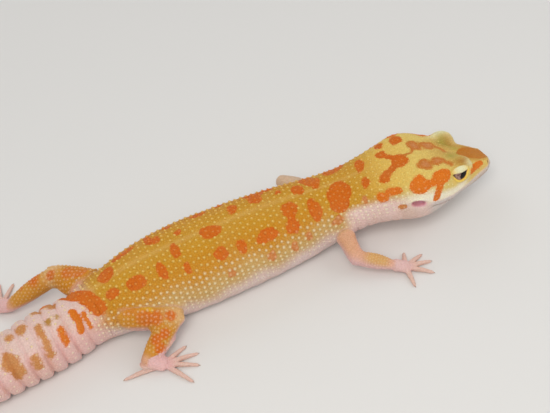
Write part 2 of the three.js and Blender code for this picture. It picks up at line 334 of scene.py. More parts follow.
eyeLook = {
    "place": (14.8, 6.5, 4.2), "radius": 3.5, "ahead": 0.08, "above": 0.14,
    # The opening, from its rear corner over the top to the front corner and back underneath.
    "opening": [(-2.95, 0.15), (-1.7, 0.75), (-0.3, 0.98), (1.2, 1.3), (2.9, 1.1), (1.95, 0.6),
                (1.4, -0.3), (0.65, -1.4), (-0.55, -1.8), (-1.5, -1.3), (-2.3, -0.6)],
    "frontCorner": 4,
    "upperWidth": 2.2, "lowerWidth": 0.6, "cornerWidth": 0.42,
    "upperHeight": 0.82, "lowerHeight": 0.9, "cornerHeight": 0.5, "upperRound": 0.7, "lowerRound": 0.5,
    "squareness": 0.62, "cover": 0.9, "straight": (0.3, 0.95), "rings": 110, "sides": 12,
    # How deep the skin sinks in the opening and under the lids, and how full it is around them.
    "sunk": 0.45, "under": 0.2, "clear": 0.66, "blend": 0.14, "rounds": 22,
    "near": 7.5, "reach": 8, "scaleReach": 4.9, "closeFrom": (7.0, 5.0), "underFrom": (0.15, -0.25),
    "sunkFrom": (0.12, -0.2), "softAt": 0.2, "softReach": 2.6,
    "lidOver": 0.1, "lidMiddle": 0.42, "lidSunk": 0.28, "bulge": 0.28, "bulgeWidth": 2.1,
}
nostril = (2.2, 3.2, 2.1)
headLook = {
    "mouth": [(0, -0.3), (3, -0.6), (6, -1.1), (11, -2.6), (16.5, -3.7), (21, -2.8), (24.5, -1.6)],
    # The groove of the mouth and the swell and crease of the lips: height, place above its line and width.
    "mouthRows": [(-0.5, 0, 0.3), (0.16, 0.85, 0.6), (-0.112, -0.9, 0.7)], "mouthEnd": (25.4, 23.6),
    "ear": (28.2, 0.8), "earSize": (1.8, 1.2), "earSlant": 0.25, "earDepth": 1.3, "earRim": 0.28,
    "jawFold": [(23.5, -1.7), (26, -3.0), (30, -5.2), (33, -6.5)], "jawDepth": 0.3,
    "browCentre": (14.0, 6.6, 4.6), "browReach": 5.7, "browSwell": 0.35,
    "snoutGroove": 0.25, "end": (36, 31),
}
# Soft mounds and hollows of the head: height, width, place along, aside and up, how far each is stretched
# those ways, and the side or top of the head it keeps to.
anyWhere = math.inf
headMounds = [
    (0.3, 1.2, nostril, (1, 1, 1), "all"), (-0.8, 0.45, nostril, (1, 1, 1), "all"),
    (-0.5, 2.0, (8.3, 0, 1.4), (1.5, anyWhere, 1), "cheek"),
    (-0.5, 4.0, (14, 0, 0), (1, 1 / 1.4, anyWhere), "top"),
    (0.35, 3.0, (24, 0, 4.5), (1.5, anyWhere, 1.2), "temple"),
    (0.2, 1.1, (24.6, 0, -0.6), (1.4, anyWhere, 1), "side"),
]


def lidLoop(count):
    # Places round the opening, with the lid's width and height and how far each is on the upper lid.
    look = eyeLook
    corners = np.array(look["opening"])
    number = np.arange(count) * len(corners) / count
    part = number.astype(int)
    share = (number - part)[:, None]
    before, start, end, after = (corners[(part + step) % len(corners)] for step in (-1, 0, 1, 2))
    curve = 2 * before - 5 * start + 4 * end - after + share * (3 * (start - end) + after - before)
    edge = start + 0.5 * share * (end - before + share * curve)
    front = look["frontCorner"]
    upper = np.where(number < front, np.sin(math.pi * number / front), 0)
    lower = np.where(number < front, 0, np.sin(math.pi * (number - front) / (len(corners) - front)))
    above, below = upper ** look["upperRound"], lower ** look["lowerRound"]
    width, height = (look["corner" + kind] + (look["upper" + kind] - look["corner" + kind]) * above
                     + (look["lower" + kind] - look["corner" + kind]) * below
                     for kind in ("Width", "Height"))
    return {"edge": edge, "upper": upper, "lower": lower, "width": width, "height": height}


def onEyeball(points, centre, ahead, upright, out):
    # Each point's place on the eyeball, unrolled from the middle of the opening, and its reach.
    offset = points - centre
    reach = np.maximum(np.linalg.norm(offset, axis=1), 0.1)
    across, high = offset @ ahead, offset @ upright
    flat = np.maximum(np.hypot(across, high), 1e-6)
    unrolled = eyeLook["radius"] * np.arctan2(flat, offset @ out) / flat
    return across * unrolled, high * unrolled, reach, offset


def outwardOf(edge):
    # The direction away from the opening at each place on its edge.
    step = unit(np.roll(edge, -1, axis=0) - np.roll(edge, 1, axis=0))
    return np.stack([-step[:, 1], step[:, 0]], 1)


def lidGap(across, high):
    # The distance from the opening's edge, negative inside it, and from the lid's outer edge.
    loop = lidLoop(eyeLook["rings"])
    edge = loop["edge"]
    gaps = np.hypot(across[:, None] - edge[:, 0], high[:, None] - edge[:, 1])
    following = np.roll(edge, -1, axis=0)
    crosses = (edge[:, 1] > high[:, None]) != (following[:, 1] > high[:, None])
    slope = (following[:, 0] - edge[:, 0]) / (following[:, 1] - edge[:, 1] + 1e-9)
    meets = edge[:, 0] + slope * (high[:, None] - edge[:, 1])
    inside = (crosses & (across[:, None] < meets)).sum(axis=1) % 2 == 1
    gap = gaps.min(axis=1)
    # A lid only reaches its full width straight out from the edge, not beyond the corners.
    outward = outwardOf(edge)
    ahead, above = across[:, None] - edge[:, 0], high[:, None] - edge[:, 1]
    straight = (ahead * outward[:, 0] + above * outward[:, 1]) / gaps
    reached = eyeLook["cover"] * loop["width"] * smoothStep(*eyeLook["straight"], straight)
    beside = np.where(inside, -gap, (gaps - reached).min(axis=1))
    return np.where(inside, -gap, gap), beside


def gapFrom(place, at, side, rise, stretch=(1, 1, 1)):
    # How far points lie from a place on the head, the same on both sides.
    return np.sqrt(((at - place[0]) / stretch[0]) ** 2 + ((side - place[1]) / stretch[1]) ** 2
                   + ((rise - place[2]) / stretch[2]) ** 2)


def mouthRise(at):
    return np.interp(at, *zip(*headLook["mouth"]))


def aroundEar(at, rise):
    # How far points lie from the middle of the ear in its own sizes, and how far behind and above it.
    (earAt, earRise), (length, height) = headLook["ear"], headLook["earSize"]
    along, up = (at - earAt) / length, (rise - earRise) / height
    return np.hypot(along, up - headLook["earSlant"] * along), along, up


def sculptHead(at, aside, rise):
    # How far each point of the head moves outwards along its normal.
    look = headLook
    side = np.abs(aside)
    push = np.zeros(len(at))
    gap = rise - mouthRise(at)
    for height, off, width in look["mouthRows"]:
        push += height * bell(gap - off, width) * smoothStep(*look["mouthEnd"], at)
    keepTo = {"all": 1, "top": smoothStep(-1, 3, rise), "cheek": smoothStep(2.5, 4.5, side),
              "temple": smoothStep(6, 10, side), "side": smoothStep(7, 10, side)}
    for height, width, place, stretch, part in headMounds:
        push += height * bell(gapFrom(place, at, side, rise, stretch), width) * keepTo[part]
    push -= look["snoutGroove"] * bell(side, 1.5) * bell(at - 7.5, 4) * keepTo["top"]
    brow = gapFrom(look["browCentre"], at, side, rise) - look["browReach"]
    push += look["browSwell"] * bell(brow, 1.2) * keepTo["top"] * smoothStep(12, 16, at)
    earGap, _, earUp = aroundEar(at, rise)
    push -= look["earDepth"] * (1 - smoothStep(0.55, 1.15, earGap)) * keepTo["side"]
    push += look["earRim"] * bell(earGap - 1.5, 0.35) * smoothStep(-0.3, 0.8, earUp) * keepTo["side"]
    jaw = bell(rise - np.interp(at, *zip(*look["jawFold"])), 0.4) * keepTo["side"]
    push -= look["jawDepth"] * jaw * smoothStep(23.6, 24.6, at) * smoothStep(33, 29, at)
    return push * smoothStep(*look["end"], at)


bodyLook = {
    # Folds of the throat: place behind the first and depth.
    "throat": 32.4, "throatCurve": 1.6, "throatFolds": [(0, 0.34), (3.1, 0.2), (6.4, 0.24), (10.6, 0.16)],
    "foldWidth": 0.55, "foldWave": 0.3,
    # Waves of loose skin: height, length, middle and reach along the body.
    "neckWaves": (0.07, 2.9, 41, 8), "flankWaves": (0.1, 6.3, 88, 30),
    "backGroove": 0.12, "backGrooveWidth": 0.09,
}


def sculptBody(at, turn):
    look = bodyLook
    around = np.radians(turn)
    low = smoothStep(70, 120, np.abs(turn))
    push = np.zeros(len(at))
    throat = at - look["throat"] + look["throatCurve"] * np.cos(around)
    for place, depth in look["throatFolds"]:
        wave = look["foldWave"] * np.sin(3 * around + place)
        push -= depth * bell(throat - place - wave, look["foldWidth"]) * low
    height, length, middle, reach = look["neckWaves"]
    slant = 1.1 * np.sin(2.3 * around)
    push += height * np.sin(2 * math.pi * (at + slant) / length) * bell(at - middle, reach) * low
    height, length, middle, reach = look["flankWaves"]
    slant = 2.0 * np.sin(1.7 * around + 0.06 * at)
    push += height * np.sin(2 * math.pi * (at + slant) / length) * bell(at - middle, reach) * low
    groove = look["backGroove"] * bell(around, look["backGrooveWidth"])
    return push - groove * smoothStep(34, 42, at) * smoothStep(132, 126, at)


pebbleLook = {"finer": 3.7, "height": 0.018, "legs": 0.2, "head": 0.3}


def microRelief(points):
    # A fine pebbling, the same in every direction.
    east, north, up = (points * pebbleLook["finer"]).T
    pebble = (np.sin(east + 1.3 * np.sin(0.7 * north)) + np.sin(north + 1.1 * np.sin(0.8 * up))
              + np.sin(up + 1.2 * np.sin(0.6 * east)))
    return pebbleLook["height"] * pebble


tailLook = {
    "start": 131.2, "ring": 4.6, "lean": 0.35,
    "swell": 0.5, "peak": 0.8, "groove": 0.62, "grooveWidth": 0.42,
    # Where the rings begin, how strong they are on top and from where they are full, and their end.
    "from": (131, 139), "top": 0.6, "sides": (20, 80), "tip": 12,
}


def ringShare(at, turn):
    # How far through its ring of the tail each point lies, from 0 to 1.
    lean = tailLook["lean"] * np.cos(np.radians(turn) * 2 + 0.4)
    phase = (at - tailLook["start"] + lean) / tailLook["ring"]
    return phase - np.floor(phase)


def sculptTail(at, turn):
    look = tailLook
    inRing = ringShare(at, turn)
    gap = np.minimum(inRing, 1 - inRing) * look["ring"]
    profile = look["swell"] * np.sin(math.pi * inRing ** look["peak"])
    profile -= look["groove"] * bell(gap, look["grooveWidth"])
    strength = look["top"] + (1 - look["top"]) * smoothStep(*look["sides"], np.abs(turn))
    strength *= smoothStep(*look["from"], at) * smoothStep(bodyLength, bodyLength - look["tip"], at)
    return profile * strength


def outsideTrunk(points, leg):
    # How far each point near a leg lies outside the trunk's solid.
    outside = np.zeros(len(points))
    for number in np.nonzero(leg["gap"] < 9)[0]:
        place, normal, _, gap = trunkTree.find_nearest(Vector(points[number] * mm))
        if (Vector(points[number] * mm) - place).dot(normal) > 0:
            outside[number] = gap / mm
    return outside


foldLook = {
    "from": (1.0, 0.7), "reach": 9, "out": 0.5, "width": 0.5, "depth": 0.5,
    "rim": 0.22, "rimOut": 2.4, "rimWidth": 1.6,
    # Creases over the joints, by place down the leg and width, and where the legs' own relief takes over.
    "joints": [(1.0, 0.12), (2.0, 0.15)], "jointDepth": 0.12, "legFrom": (0.55, 1.1), "legGap": (9, 6),
    "floorGap": 0.12,
}


def sculptFolds(points, leg):
    # A crease where each leg leaves the trunk, with a soft rim of skin above it.
    look = foldLook
    outside = outsideTrunk(points, leg)
    near = smoothStep(*look["from"], leg["down"]) * (outside > 0)
    crease = bell(outside - look["out"], look["width"])
    rim = bell(outside - look["out"] - look["rimOut"] * look["width"], look["rimWidth"] * look["width"])
    return (look["rim"] * rim - look["depth"] * crease) * near


def sculptSkin():
    points = pointsOf(skin)
    at, aside, rise = spine.coordinates(points)
    turn = np.degrees(np.arctan2(-aside, rise))
    leg = legCoordinates(points)
    look = foldLook
    onLeg = smoothStep(*look["legFrom"], leg["down"]) * smoothStep(*look["legGap"], leg["gap"])
    push = (sculptHead(at, aside, rise) + sculptBody(at, turn) + sculptTail(at, turn)) * (1 - onLeg)
    creases = sum(bell(leg["down"] - place, width) for place, width in look["joints"])
    push -= look["jointDepth"] * creases * onLeg
    push += sculptFolds(points, leg)
    behindHead = pebbleLook["head"] + (1 - pebbleLook["head"]) * smoothStep(28, 40, at)
    push += microRelief(points) * (1 - (1 - pebbleLook["legs"]) * onLeg) * behindHead
    moved = points + normalsOf(skin) * push[:, None]
    moved[:, 2] = np.maximum(moved[:, 2], np.minimum(points[:, 2], look["floorGap"]))
    setPoints(skin, moved)


def shapeLids():
    # Inside the opening the skin sinks behind the eyeball, and the lid pieces lie over its edge.
    look = eyeLook
    points = pointsOf(skin)
    soften = np.zeros(len(points))
    for side in (-1, 1):
        across, high, reach, offset = onEyeball(points, *eyeFrame(side))
        near = np.nonzero((np.hypot(across, high) < look["near"]) & (reach < look["reach"]))[0]
        gap, beside = lidGap(across[near], high[near])
        natural = reach[near]
        close = smoothStep(*look["closeFrom"], natural)
        shallow = (look["radius"] + look["clear"] - natural) / look["blend"]
        beyond = natural + np.logaddexp(0, shallow) * look["blend"]
        covered = smoothStep(*look["underFrom"], beside) * close
        wanted = beyond + (look["radius"] + look["under"] - beyond) * covered
        wanted += (look["radius"] - look["sunk"] - wanted) * smoothStep(*look["sunkFrom"], gap) * close
        points[near] += offset[near] / natural[:, None] * (wanted - natural)[:, None]
        soften[near] += bell(beside - look["softAt"], look["softReach"]) * smoothStep(0.05, 0.3, gap)
    setPoints(skin, points)
    smooth(skin, "lidSkin", soften, look["rounds"])


def thinSkin():
    look = skinLook
    points = pointsOf(skin)
    leg = legCoordinates(points)
    onFoot = smoothStep(*look["fineFoot"], leg["down"]) * (leg["gap"] < look["footReach"])
    keepFine = np.maximum(smoothStep(*look["fineHead"], spine.coordinates(points)[0]), onFoot)
    group = weigh(skin, "plain", 1 - look["finer"] * keepFine)
    share = look["triangles"] / triangleCount(skin)
    if share < 1:
        applyModifier(skin, "DECIMATE", ratio=share, vertex_group=group, vertex_group_factor=1.0)


skin = makeSkin()
print("skin made", triangleCount(skin))
sculptSkin()
shapeLids()
thinSkin()
print("skin thinned", triangleCount(skin))

# Colours, as red, green and blue on the screen from 0 to 255.
palette = {
    "back": (207, 150, 32), "backDeep": (205, 137, 14), "midline": (222, 178, 96),
    "flank": (209, 169, 102), "belly": (228, 204, 200), "neckSide": (244, 214, 208),
    "headTop": (228, 198, 108), "nape": (234, 194, 92), "moss": (160, 158, 60),
    "brow": (174, 116, 34), "snout": (190, 124, 28), "snoutSide": (230, 220, 172),
    "browEdge": (238, 236, 190), "lip": (212, 200, 195), "cheek": (255, 246, 222),
    # The mouth and nostril colours are painted shade: the dark of the mouth groove and of the nostril
    # hollows.
    "jaw": (232, 204, 196), "mouth": (150, 104, 88), "nostril": (120, 74, 52),
    # The ear's dark upper edge colour is painted shade inside the ear hole, under its rim.
    "ear": (222, 162, 178), "earUpperShade": (150, 40, 50), "tail": (232, 200, 192),
    "tailSide": (234, 190, 184), "tailUnder": (234, 196, 192), "upperArm": (228, 172, 140),
    "forearm": (222, 170, 106), "hand": (234, 194, 190), "farArm": (216, 190, 162),
    "thigh": (212, 140, 22), "shin": (212, 146, 44), "foot": (236, 190, 188),
    "limbUnder": (228, 184, 184), "knee": (234, 194, 142), "toe": (234, 196, 182),
    "fold": (206, 164, 164), "markDeep": (214, 107, 0), "markRump": (222, 122, 24),
    "markTan": (204, 124, 44), "markSnout": (196, 122, 34), "markCheek": (228, 120, 6),
    "markFaint": (214, 140, 80), "markTail": (206, 146, 90), "markMoss": (190, 150, 80),
    "markPink": (214, 150, 104), "limbMark": (216, 108, 6), "limbYellow": (230, 184, 20),
}


def linear(name):
    screen = np.array(palette[name]) / 255
    return np.where(screen > 0.04045, ((screen + 0.055) / 1.055) ** 2.4, screen / 12.92)


# Spots: place along and turn round the body, half size along and across, and the colour.
spots = [
    (6.6, 5, 5.2, 3.3, "markSnout"), (24.0, 37, 2.1, 2.2, "markTan"), (20.4, 34, 2.4, 1.5, "markTan"),
    (24.3, -14, 2.0, 2.6, "markTan"), (20.6, -13, 2.6, 1.9, "markTan"), (28.1, -36, 1.9, 2.3, "markDeep"),
    (27.3, 62, 2.5, 2.8, "markCheek"), (20.7, 59, 2.8, 2.2, "markCheek"), (32.6, 88, 1.1, 1.3, "markFaint"),
    (33.7, -17, 1.5, 1.7, "markDeep"), (29.7, 17, 2.1, 2.9, "markDeep"), (35.0, 40, 1.4, 1.8, "markDeep"),
    (37.0, 67, 1.3, 1.8, "markCheek"), (34.6, 62, 1.8, 1.4, "markCheek"), (32.7, 62, 1.2, 1.1, "markCheek"),
    (39.9, -16, 1.5, 3.1, "markDeep"), (39.7, 36, 1.2, 1.8, "markDeep"), (41.3, 63, 0.8, 1.4, "markFaint"),
    (48.6, 36, 4.5, 4.1, "markDeep"), (49.6, 54, 3.4, 3, "markDeep"), (58.2, 48, 2.2, 3.6, "markDeep"),
    (54.6, -23, 1.7, 3.2, "markDeep"), (60.5, -16, 1.9, 2.6, "markDeep"), (65.5, 31, 2.4, 3.3, "markDeep"),
    (66.7, 59, 2.3, 2.2, "markDeep"), (52.5, 80, 2.5, 1.3, "markFaint"), (74.9, 56, 3.8, 1.9, "markDeep"),
    (83.1, 56, 1.7, 2, "markDeep"), (89.7, 54, 2.2, 2.2, "markDeep"), (100.7, 54, 1.3, 1.8, "markDeep"),
    (107.8, 43, 1.4, 3.1, "markDeep"), (101.8, 20, 1.4, 3.3, "markDeep"), (90, 11, 3.6, 2.6, "markDeep"),
    (105.5, -26, 1.5, 1.9, "markDeep"), (98.9, -19, 1.2, 1.5, "markDeep"), (81, -26, 1.7, 2.6, "markDeep"),
    (73.4, -33, 2.1, 3, "markDeep"), (66.2, -29, 1.1, 1.3, "markDeep"), (75.9, 83, 1.4, 1.7, "markFaint"),
    (68.3, 86, 1.2, 2, "markFaint"), (63.1, 81, 1.1, 1.7, "markFaint"), (88.9, 81, 1.4, 1.4, "markFaint"),
    (122.8, -15, 2.7, 3.2, "markDeep"), (116, 41, 3.3, 2.2, "markDeep"), (123.8, 37, 2.1, 1.8, "markDeep"),
    (141.2, -31, 1.6, 2.6, "markTail"), (145.6, -36, 1.6, 2.4, "markTail"),
    (144.3, 13, 1.2, 1.3, "markMoss"),
    (141.3, 11, 0.9, 0.9, "markMoss"), (151.8, -5, 1.9, 2.4, "markTail"), (155.7, -4, 1.5, 1.6, "markTail"),
    (158.6, 48, 2.3, 3.2, "markTail"), (158, 74, 2.0, 3.0, "markTail"), (164, -40, 2.2, 3.4, "markTail"),
    (168, 26, 2.4, 3.4, "markTail"), (177, -20, 2.2, 3, "markTail"), (182, 40, 2, 2.6, "markTail"),
    (190, 5, 2.4, 3.2, "markTail"), (199, -10, 2, 2.4, "markTail"),
]
# Stripes: half width, colour, and the places along and round that each passes through.
stripes = [
    (0.9, "markDeep", [(33.0, -12), (31.6, 1), (30.4, 8)]), (1.1, "markDeep", [(31.2, 24), (34.2, 35)]),
    (0.5, "markTan", [(28.4, 8), (26.0, 6), (24.8, -6)]),
    (0.7, "markTan", [(19.4, -12), (16.8, -4), (16.2, 8)]),
    (0.9, "markCheek", [(26.0, 64), (22.6, 62)]), (1.15, "markCheek", [(21.6, 64), (22.4, 76), (23.0, 86)]),
    (0.7, "markTan", [(19.0, 38), (17.2, 44)]), (1.7, "markCheek", [(9.6, 65), (6.2, 55)]),
    (2.5, "markDeep", [(135.5, -45), (133.3, -22), (131.4, 0), (130.4, 24), (129.6, 48)]),
    (1.3, "markRump", [(136.6, 20), (136.6, 48), (137.2, 66)]),
    (0.7, "markRump", [(134.2, 36), (134.5, 72)]),
    (1.4, "markRump", [(142.4, 44), (143, 68)]), (1.2, "markTail", [(147.6, 12), (147.8, 46), (148.3, 76)]),
    (1.3, "markTail", [(152.6, 64), (152.9, 84)]),
]
# Spots on the legs: colour, half size and where each lies.
limbSpots = [
    ("limbMark", 2.7, [(-9.0, -17.0, 11.6), (-27.5, 13.5, 13.4)]),
    ("limbYellow", 1.9, [(-10.2, -14.4, 13.3)]),
    ("limbMark", 2.8, [(-14.8, -11.4, 14.6), (-11.6, -15.4, 11.4), (-24.5, 11.8, 13.4),
                       (-38.5, 20.2, 8.6)]),
    ("limbMark", 1.8, [(-4.3, -17.4, 10.6), (-7.8, -21.1, 8.4), (-10.9, -21.4, 8.2), (-10.5, -23.6, 5.9),
                       (-33.5, 17.0, 12.2), (-43.0, 20.6, 7.0)]),
]
markLook = {
    "seed": 21, "mirrorFrom": 40, "alongShift": 2.0, "turnShift": 7, "sizeShift": 0.18, "stripeShift": 0.6,
    # How sharply close marks run together, how far from its edge a mark counts, and the waves of its edge.
    "merge": 4.0, "counts": (-9, 5), "waves": ((2, 0.1), (3, 0.08), (4, 0.04)), "smallest": 0.02,
    "stripeGirth": 10.0,
}


def withFarSide():
    # The side away from the marks above carries its own, like them but not the same.
    draw = random.Random(markLook["seed"])
    marks = list(spots)
    for at, turn, along, across, colour in spots:
        if turn >= markLook["mirrorFrom"] or (at > 160 and turn > 20):
            size = 1 + draw.uniform(-1, 1) * markLook["sizeShift"]
            place = at + draw.uniform(-1, 1) * markLook["alongShift"]
            bearing = -turn + draw.uniform(-1, 1) * markLook["turnShift"]
            marks.append((place, bearing, along * size, across / size, colour))
    low = [stripe for stripe in stripes if min(turn for _, turn in stripe[2]) >= markLook["mirrorFrom"]]
    return marks, stripes + [(width, colour, [(at + markLook["stripeShift"], -turn) for at, turn in stops])
                             for width, colour, stops in low]


def markPaint(at, turn, girth):
    # The marks' colour, and how far inside their edges each point lies, with close marks run together.
    marks, lines = withFarSide()
    draw = random.Random(markLook["seed"] + 1)
    total = np.zeros(len(at))
    tint = np.zeros((len(at), 3))

    def lay(within, colour):
        share = np.exp(np.clip(within, *markLook["counts"]) * markLook["merge"])
        total[:] += share
        tint[:] += share[:, None] * linear(colour)

    for place, bearing, along, across, colour in marks:
        ahead = at - place
        around = np.radians((turn - bearing + 180) % 360 - 180) * girth
        swirl = np.arctan2(around / across, ahead / along)
        edge = 1 + sum(draw.uniform(markLook["smallest"], size) * np.sin(wave * swirl + draw.uniform(0, 6))
                       for wave, size in markLook["waves"])
        lay((edge - np.hypot(ahead / along, around / across)) * math.sqrt(along * across), colour)
    rolled = np.stack([at, np.radians(turn) * markLook["stripeGirth"]], 1)
    for halfWidth, colour, stops in lines:
        path = [(place, math.radians(bearing) * markLook["stripeGirth"]) for place, bearing in stops]
        gap = np.min([segmentShare(rolled, start, end)[1] for start, end in zip(path, path[1:])], axis=0)
        lay(halfWidth - gap, colour)
    return tint / total[:, None], np.log(total) / markLook["merge"]


# Washes of ground colour, in order: the colour, its strength and the measures it follows. A measure works
# as it is, fades in "from" one value to another, or counts "about" a value within a width.
washes = [
    ("backDeep", 0.8, ("away", "from", 22, 55), ("at", "from", 50, 62)),
    ("midline", 0.55, ("midline", "about", 0, 6), ("at", "from", 30, 45)),
    ("flank", 1, ("flank", "from", 63, 88)),
    ("belly", 1, ("flank", "from", 88, 112)),
    ("neckSide", 1, ("away", "from", 64, 80), ("at", "from", 52, 46)),
    ("tail", 1, ("tail",)),
    ("tailSide", 1, ("tail",), ("away", "from", 40, 75)),
    ("tailUnder", 1, ("tail",), ("away", "from", 100, 125)),
    ("headTop", 1, ("head",), ("headTop",)),
    ("nape", 0.8, ("at", "about", 33, 6), ("away", "from", 70, 50)),
    ("snout", 0.85, ("head",), ("at", "about", 6, 5.5), ("away", "from", 54, 32)),
    ("brow", 0.9, ("at", "about", 14.2, 3), ("brow", "about", 0, 8)),
    ("browEdge", 0.95, ("at", "about", 14.8, 4), ("turn", "about", -43, 9)),
    ("brow", 0.45, ("at", "about", 17, 4), ("away", "about", 12, 18)),
    ("moss", 1, ("moss",)),
    ("snoutSide", 0.85, ("at", "about", 11.3, 1.7), ("away", "about", 47, 8)),
    ("cheek", 0.95, ("head",), ("cheek",)),
    ("jaw", 1, ("head",), ("jaw",)),
    ("lip", 1, ("mouth", "from", 2.1, 1.3), ("at", "from", 26, 23), ("mouth", "from", -5, -2.5)),
    # Painted shade: a dark line along the groove of the mouth.
    ("mouth", 0.75, ("mouth", "about", 0, 0.22), ("at", "from", 25, 23.5)),
    # Painted shade: dark in the hollow of each nostril.
    ("nostril", 1, ("nostril", "from", 0.8, 0.35)),
    ("ear", 1, ("ear", "from", 1.4, 0.9), ("earSide",)),
    # Painted shade: dark red on the upper wall inside the ear hole, under its raised rim.
    ("earUpperShade", 1, ("ear", "about", 0.6, 0.28), ("earUpperShade", "from", 0.05, 0.4), ("earSide",)),
    ("fold", 0.5, ("limb", "about", 0.1, 0.12), ("anyLimb",), ("away", "from", 50, 75)),
    ("upperArm", 1, ("fore",)),
    ("farArm", 0.8, ("farFore",), ("down", "from", 2.0, 1.8)),
    ("forearm", 1, ("nearFore",), ("down", "from", 1.15, 1.4), ("down", "from", 2.0, 1.75), ("upward",)),
    ("thigh", 1, ("hind",)),
    ("shin", 1, ("hind",), ("down", "from", 0.9, 1.2)),
    ("knee", 0.7, ("hind",), ("down", "about", 1.0, 0.14)),
]
# The washes that lie over the spots of the legs.
lateWashes = [
    ("limbUnder", 1, ("limbUnder",)),
    ("thigh", 0.85, ("at", "about", 126.5, 6), ("away", "from", 62, 78), ("rise", "from", -1, 2),
     ("down", "from", 0.8, 0.5)),
    ("foot", 1, ("hind",), ("down", "from", 1.86, 2.16)),
    ("hand", 1, ("fore",), ("down", "from", 1.9, 2.2)),
    ("toe", 1, ("limb",), ("down", "from", 3.1, 3.5)),
]
paintLook = {
    "limbFrom": (0.2, 2.4),
    # The height of each leg's axis from root to toe tips.
    "limbRise": ([0, 1, 2, 3, 4], [9, 6.5, 3.2, 1.6, 0.7]), "limbGirth": 2.5,
    "browTurns": (43, -25), "farEar": 9,
    # How much the marks fade on the crown and tail, and how far they draw in on the legs, ears and lips.
    "crownFade": 0.5, "tailFade": 0.6, "limbLoss": 6, "headLoss": 3,
}


def measuresOf(points):
    # Everything the washes and the coat need to know about each point.
    at, aside, rise = spine.coordinates(points)
    turn = np.degrees(np.arctan2(-aside, rise))
    away, side = np.abs(turn), np.abs(aside)
    leg = legCoordinates(points)
    limb = smoothStep(*paintLook["limbFrom"], outsideTrunk(points, leg))
    hind, down, mouth = leg["leg"] >= 2, leg["down"], rise - mouthRise(at)
    earGap, earAlong, earUp = aroundEar(at, rise)
    aboveAxis = (points[:, 2] - np.interp(down, *paintLook["limbRise"])) / paintLook["limbGirth"]
    upward = smoothStep(-0.4, 0.5, aboveAxis)
    behindMouth = smoothStep(23, 27, at)
    cream = smoothStep(6.0, 3.6, mouth) * smoothStep(9, 14, at) * (1 - behindMouth)
    nearBrow, farBrow = paintLook["browTurns"]
    return {
        "at": at, "turn": turn, "away": away, "rise": rise, "side": side, "girth": np.hypot(aside, rise),
        "limb": limb, "leg": leg["leg"], "down": down, "mouth": mouth, "ear": earGap,
        "nostril": gapFrom(nostril, at, side, rise),
        "flank": away + (2.5 * np.sin(at / 4.1) + 2 * np.sin(at / 1.9 + turn / 30)),
        "midline": turn + 3 * np.sin(at / 9),
        "tail": smoothStep(127, 135, at), "head": smoothStep(36, 30, at),
        "headTop": np.maximum(smoothStep(85, 65, away), smoothStep(27, 22, at)),
        "brow": turn - np.where(turn > 0, nearBrow, farBrow),
        "moss": (0.75 * bell(at - 15.6, 1.8) * bell(away - 25, 9)
                 + 0.5 * bell(at - 12, 2) * bell(away - 14, 10)),
        "cheek": cream + bell(at - 28, 4.5) * bell(away - 78, 9),
        "jaw": smoothStep(84, 96, away) * behindMouth + smoothStep(2.6, 1.2, mouth) * (1 - behindMouth),
        "earUpperShade": earUp + 0.5 * earAlong, "earSide": smoothStep(7, 10, side),
        "anyLimb": limb > 0.002, "upward": upward, "limbUnder": limb * (1 - upward) * (down < 2.1),
        "hind": limb * hind, "fore": limb * ~hind,
        "nearFore": limb * (leg["leg"] == 0), "farFore": limb * (leg["leg"] == 1),
    }


def paintOf(points):
    # The ground colour, the colour of the marks and how deep inside a mark each point lies.
    measures = measuresOf(points)
    at, away, limb = measures["at"], measures["away"], measures["limb"]
    ground = np.tile(linear("back"), (len(points), 1))

    def lay(name, share):
        ground[:] += (linear(name) - ground) * np.clip(share, 0, 1)[:, None]

    def layAll(table):
        for name, share, *terms in table:
            for measure, *fade in terms:
                value = measures[measure]
                if "from" in fade:
                    value = smoothStep(*fade[1:], value)
                elif "about" in fade:
                    value = bell(value - fade[1], fade[2])
                share = share * value
            lay(name, share)

    layAll(washes)
    for colour, halfSize, places in limbSpots:
        for place in places:
            gap = np.linalg.norm(points - place, axis=1)
            lay(colour, limb * smoothStep(halfSize * 1.25, halfSize * 0.7, gap))
    layAll(lateWashes)
    look = paintLook
    tint, inside = markPaint(at, measures["turn"], measures["girth"])
    crown = smoothStep(27, 24, at) * smoothStep(52, 44, away) * smoothStep(11, 15, at)
    faded = look["crownFade"] * crown
    tint += (linear("markPink") - tint) * (faded * smoothStep(0.4, 1.8, inside))[:, None]
    inside *= 1 - faded - look["tailFade"] * smoothStep(136, 142, at)
    onEar = (measures["ear"] < 1.2) * measures["earSide"]
    onLip = smoothStep(2.0, 1.6, measures["mouth"]) * (at < 24)
    inside -= look["limbLoss"] * limb + look["headLoss"] * onEar + look["headLoss"] * onLip
    earGap = np.where(measures["side"] > 7, measures["ear"], look["farEar"])
    kept = {key: measures[key] for key in ("at", "turn", "limb", "leg", "down", "mouth", "nostril")}
    return {**kept, "ear": earGap, "ground": ground, "tint": tint, "inside": inside}


def addColours(piece, name, colours):
    attribute = piece.data.attributes.new(name, "FLOAT_COLOR", "POINT")
    filled = np.ones((len(colours), 4), dtype=np.float32)
    filled[:, :3] = colours
    attribute.data.foreach_set("color", filled.ravel())


deepest = 3.0


def wearPaint(piece, paint, repeats=1):
    addColours(piece, "ground", np.repeat(paint["ground"], repeats, axis=0))
    addColours(piece, "markTint", np.repeat(paint["tint"], repeats, axis=0))
    addValues(piece, "inside", np.repeat(np.clip(paint["inside"], -deepest, deepest), repeats))


skinPaint = paintOf(pointsOf(skin))
wearPaint(skin, skinPaint)
print("skin painted")
pick(skin)
bpy.ops.object.shade_smooth()
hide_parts(*fleshNodes)
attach(skin, "root")

# Materials


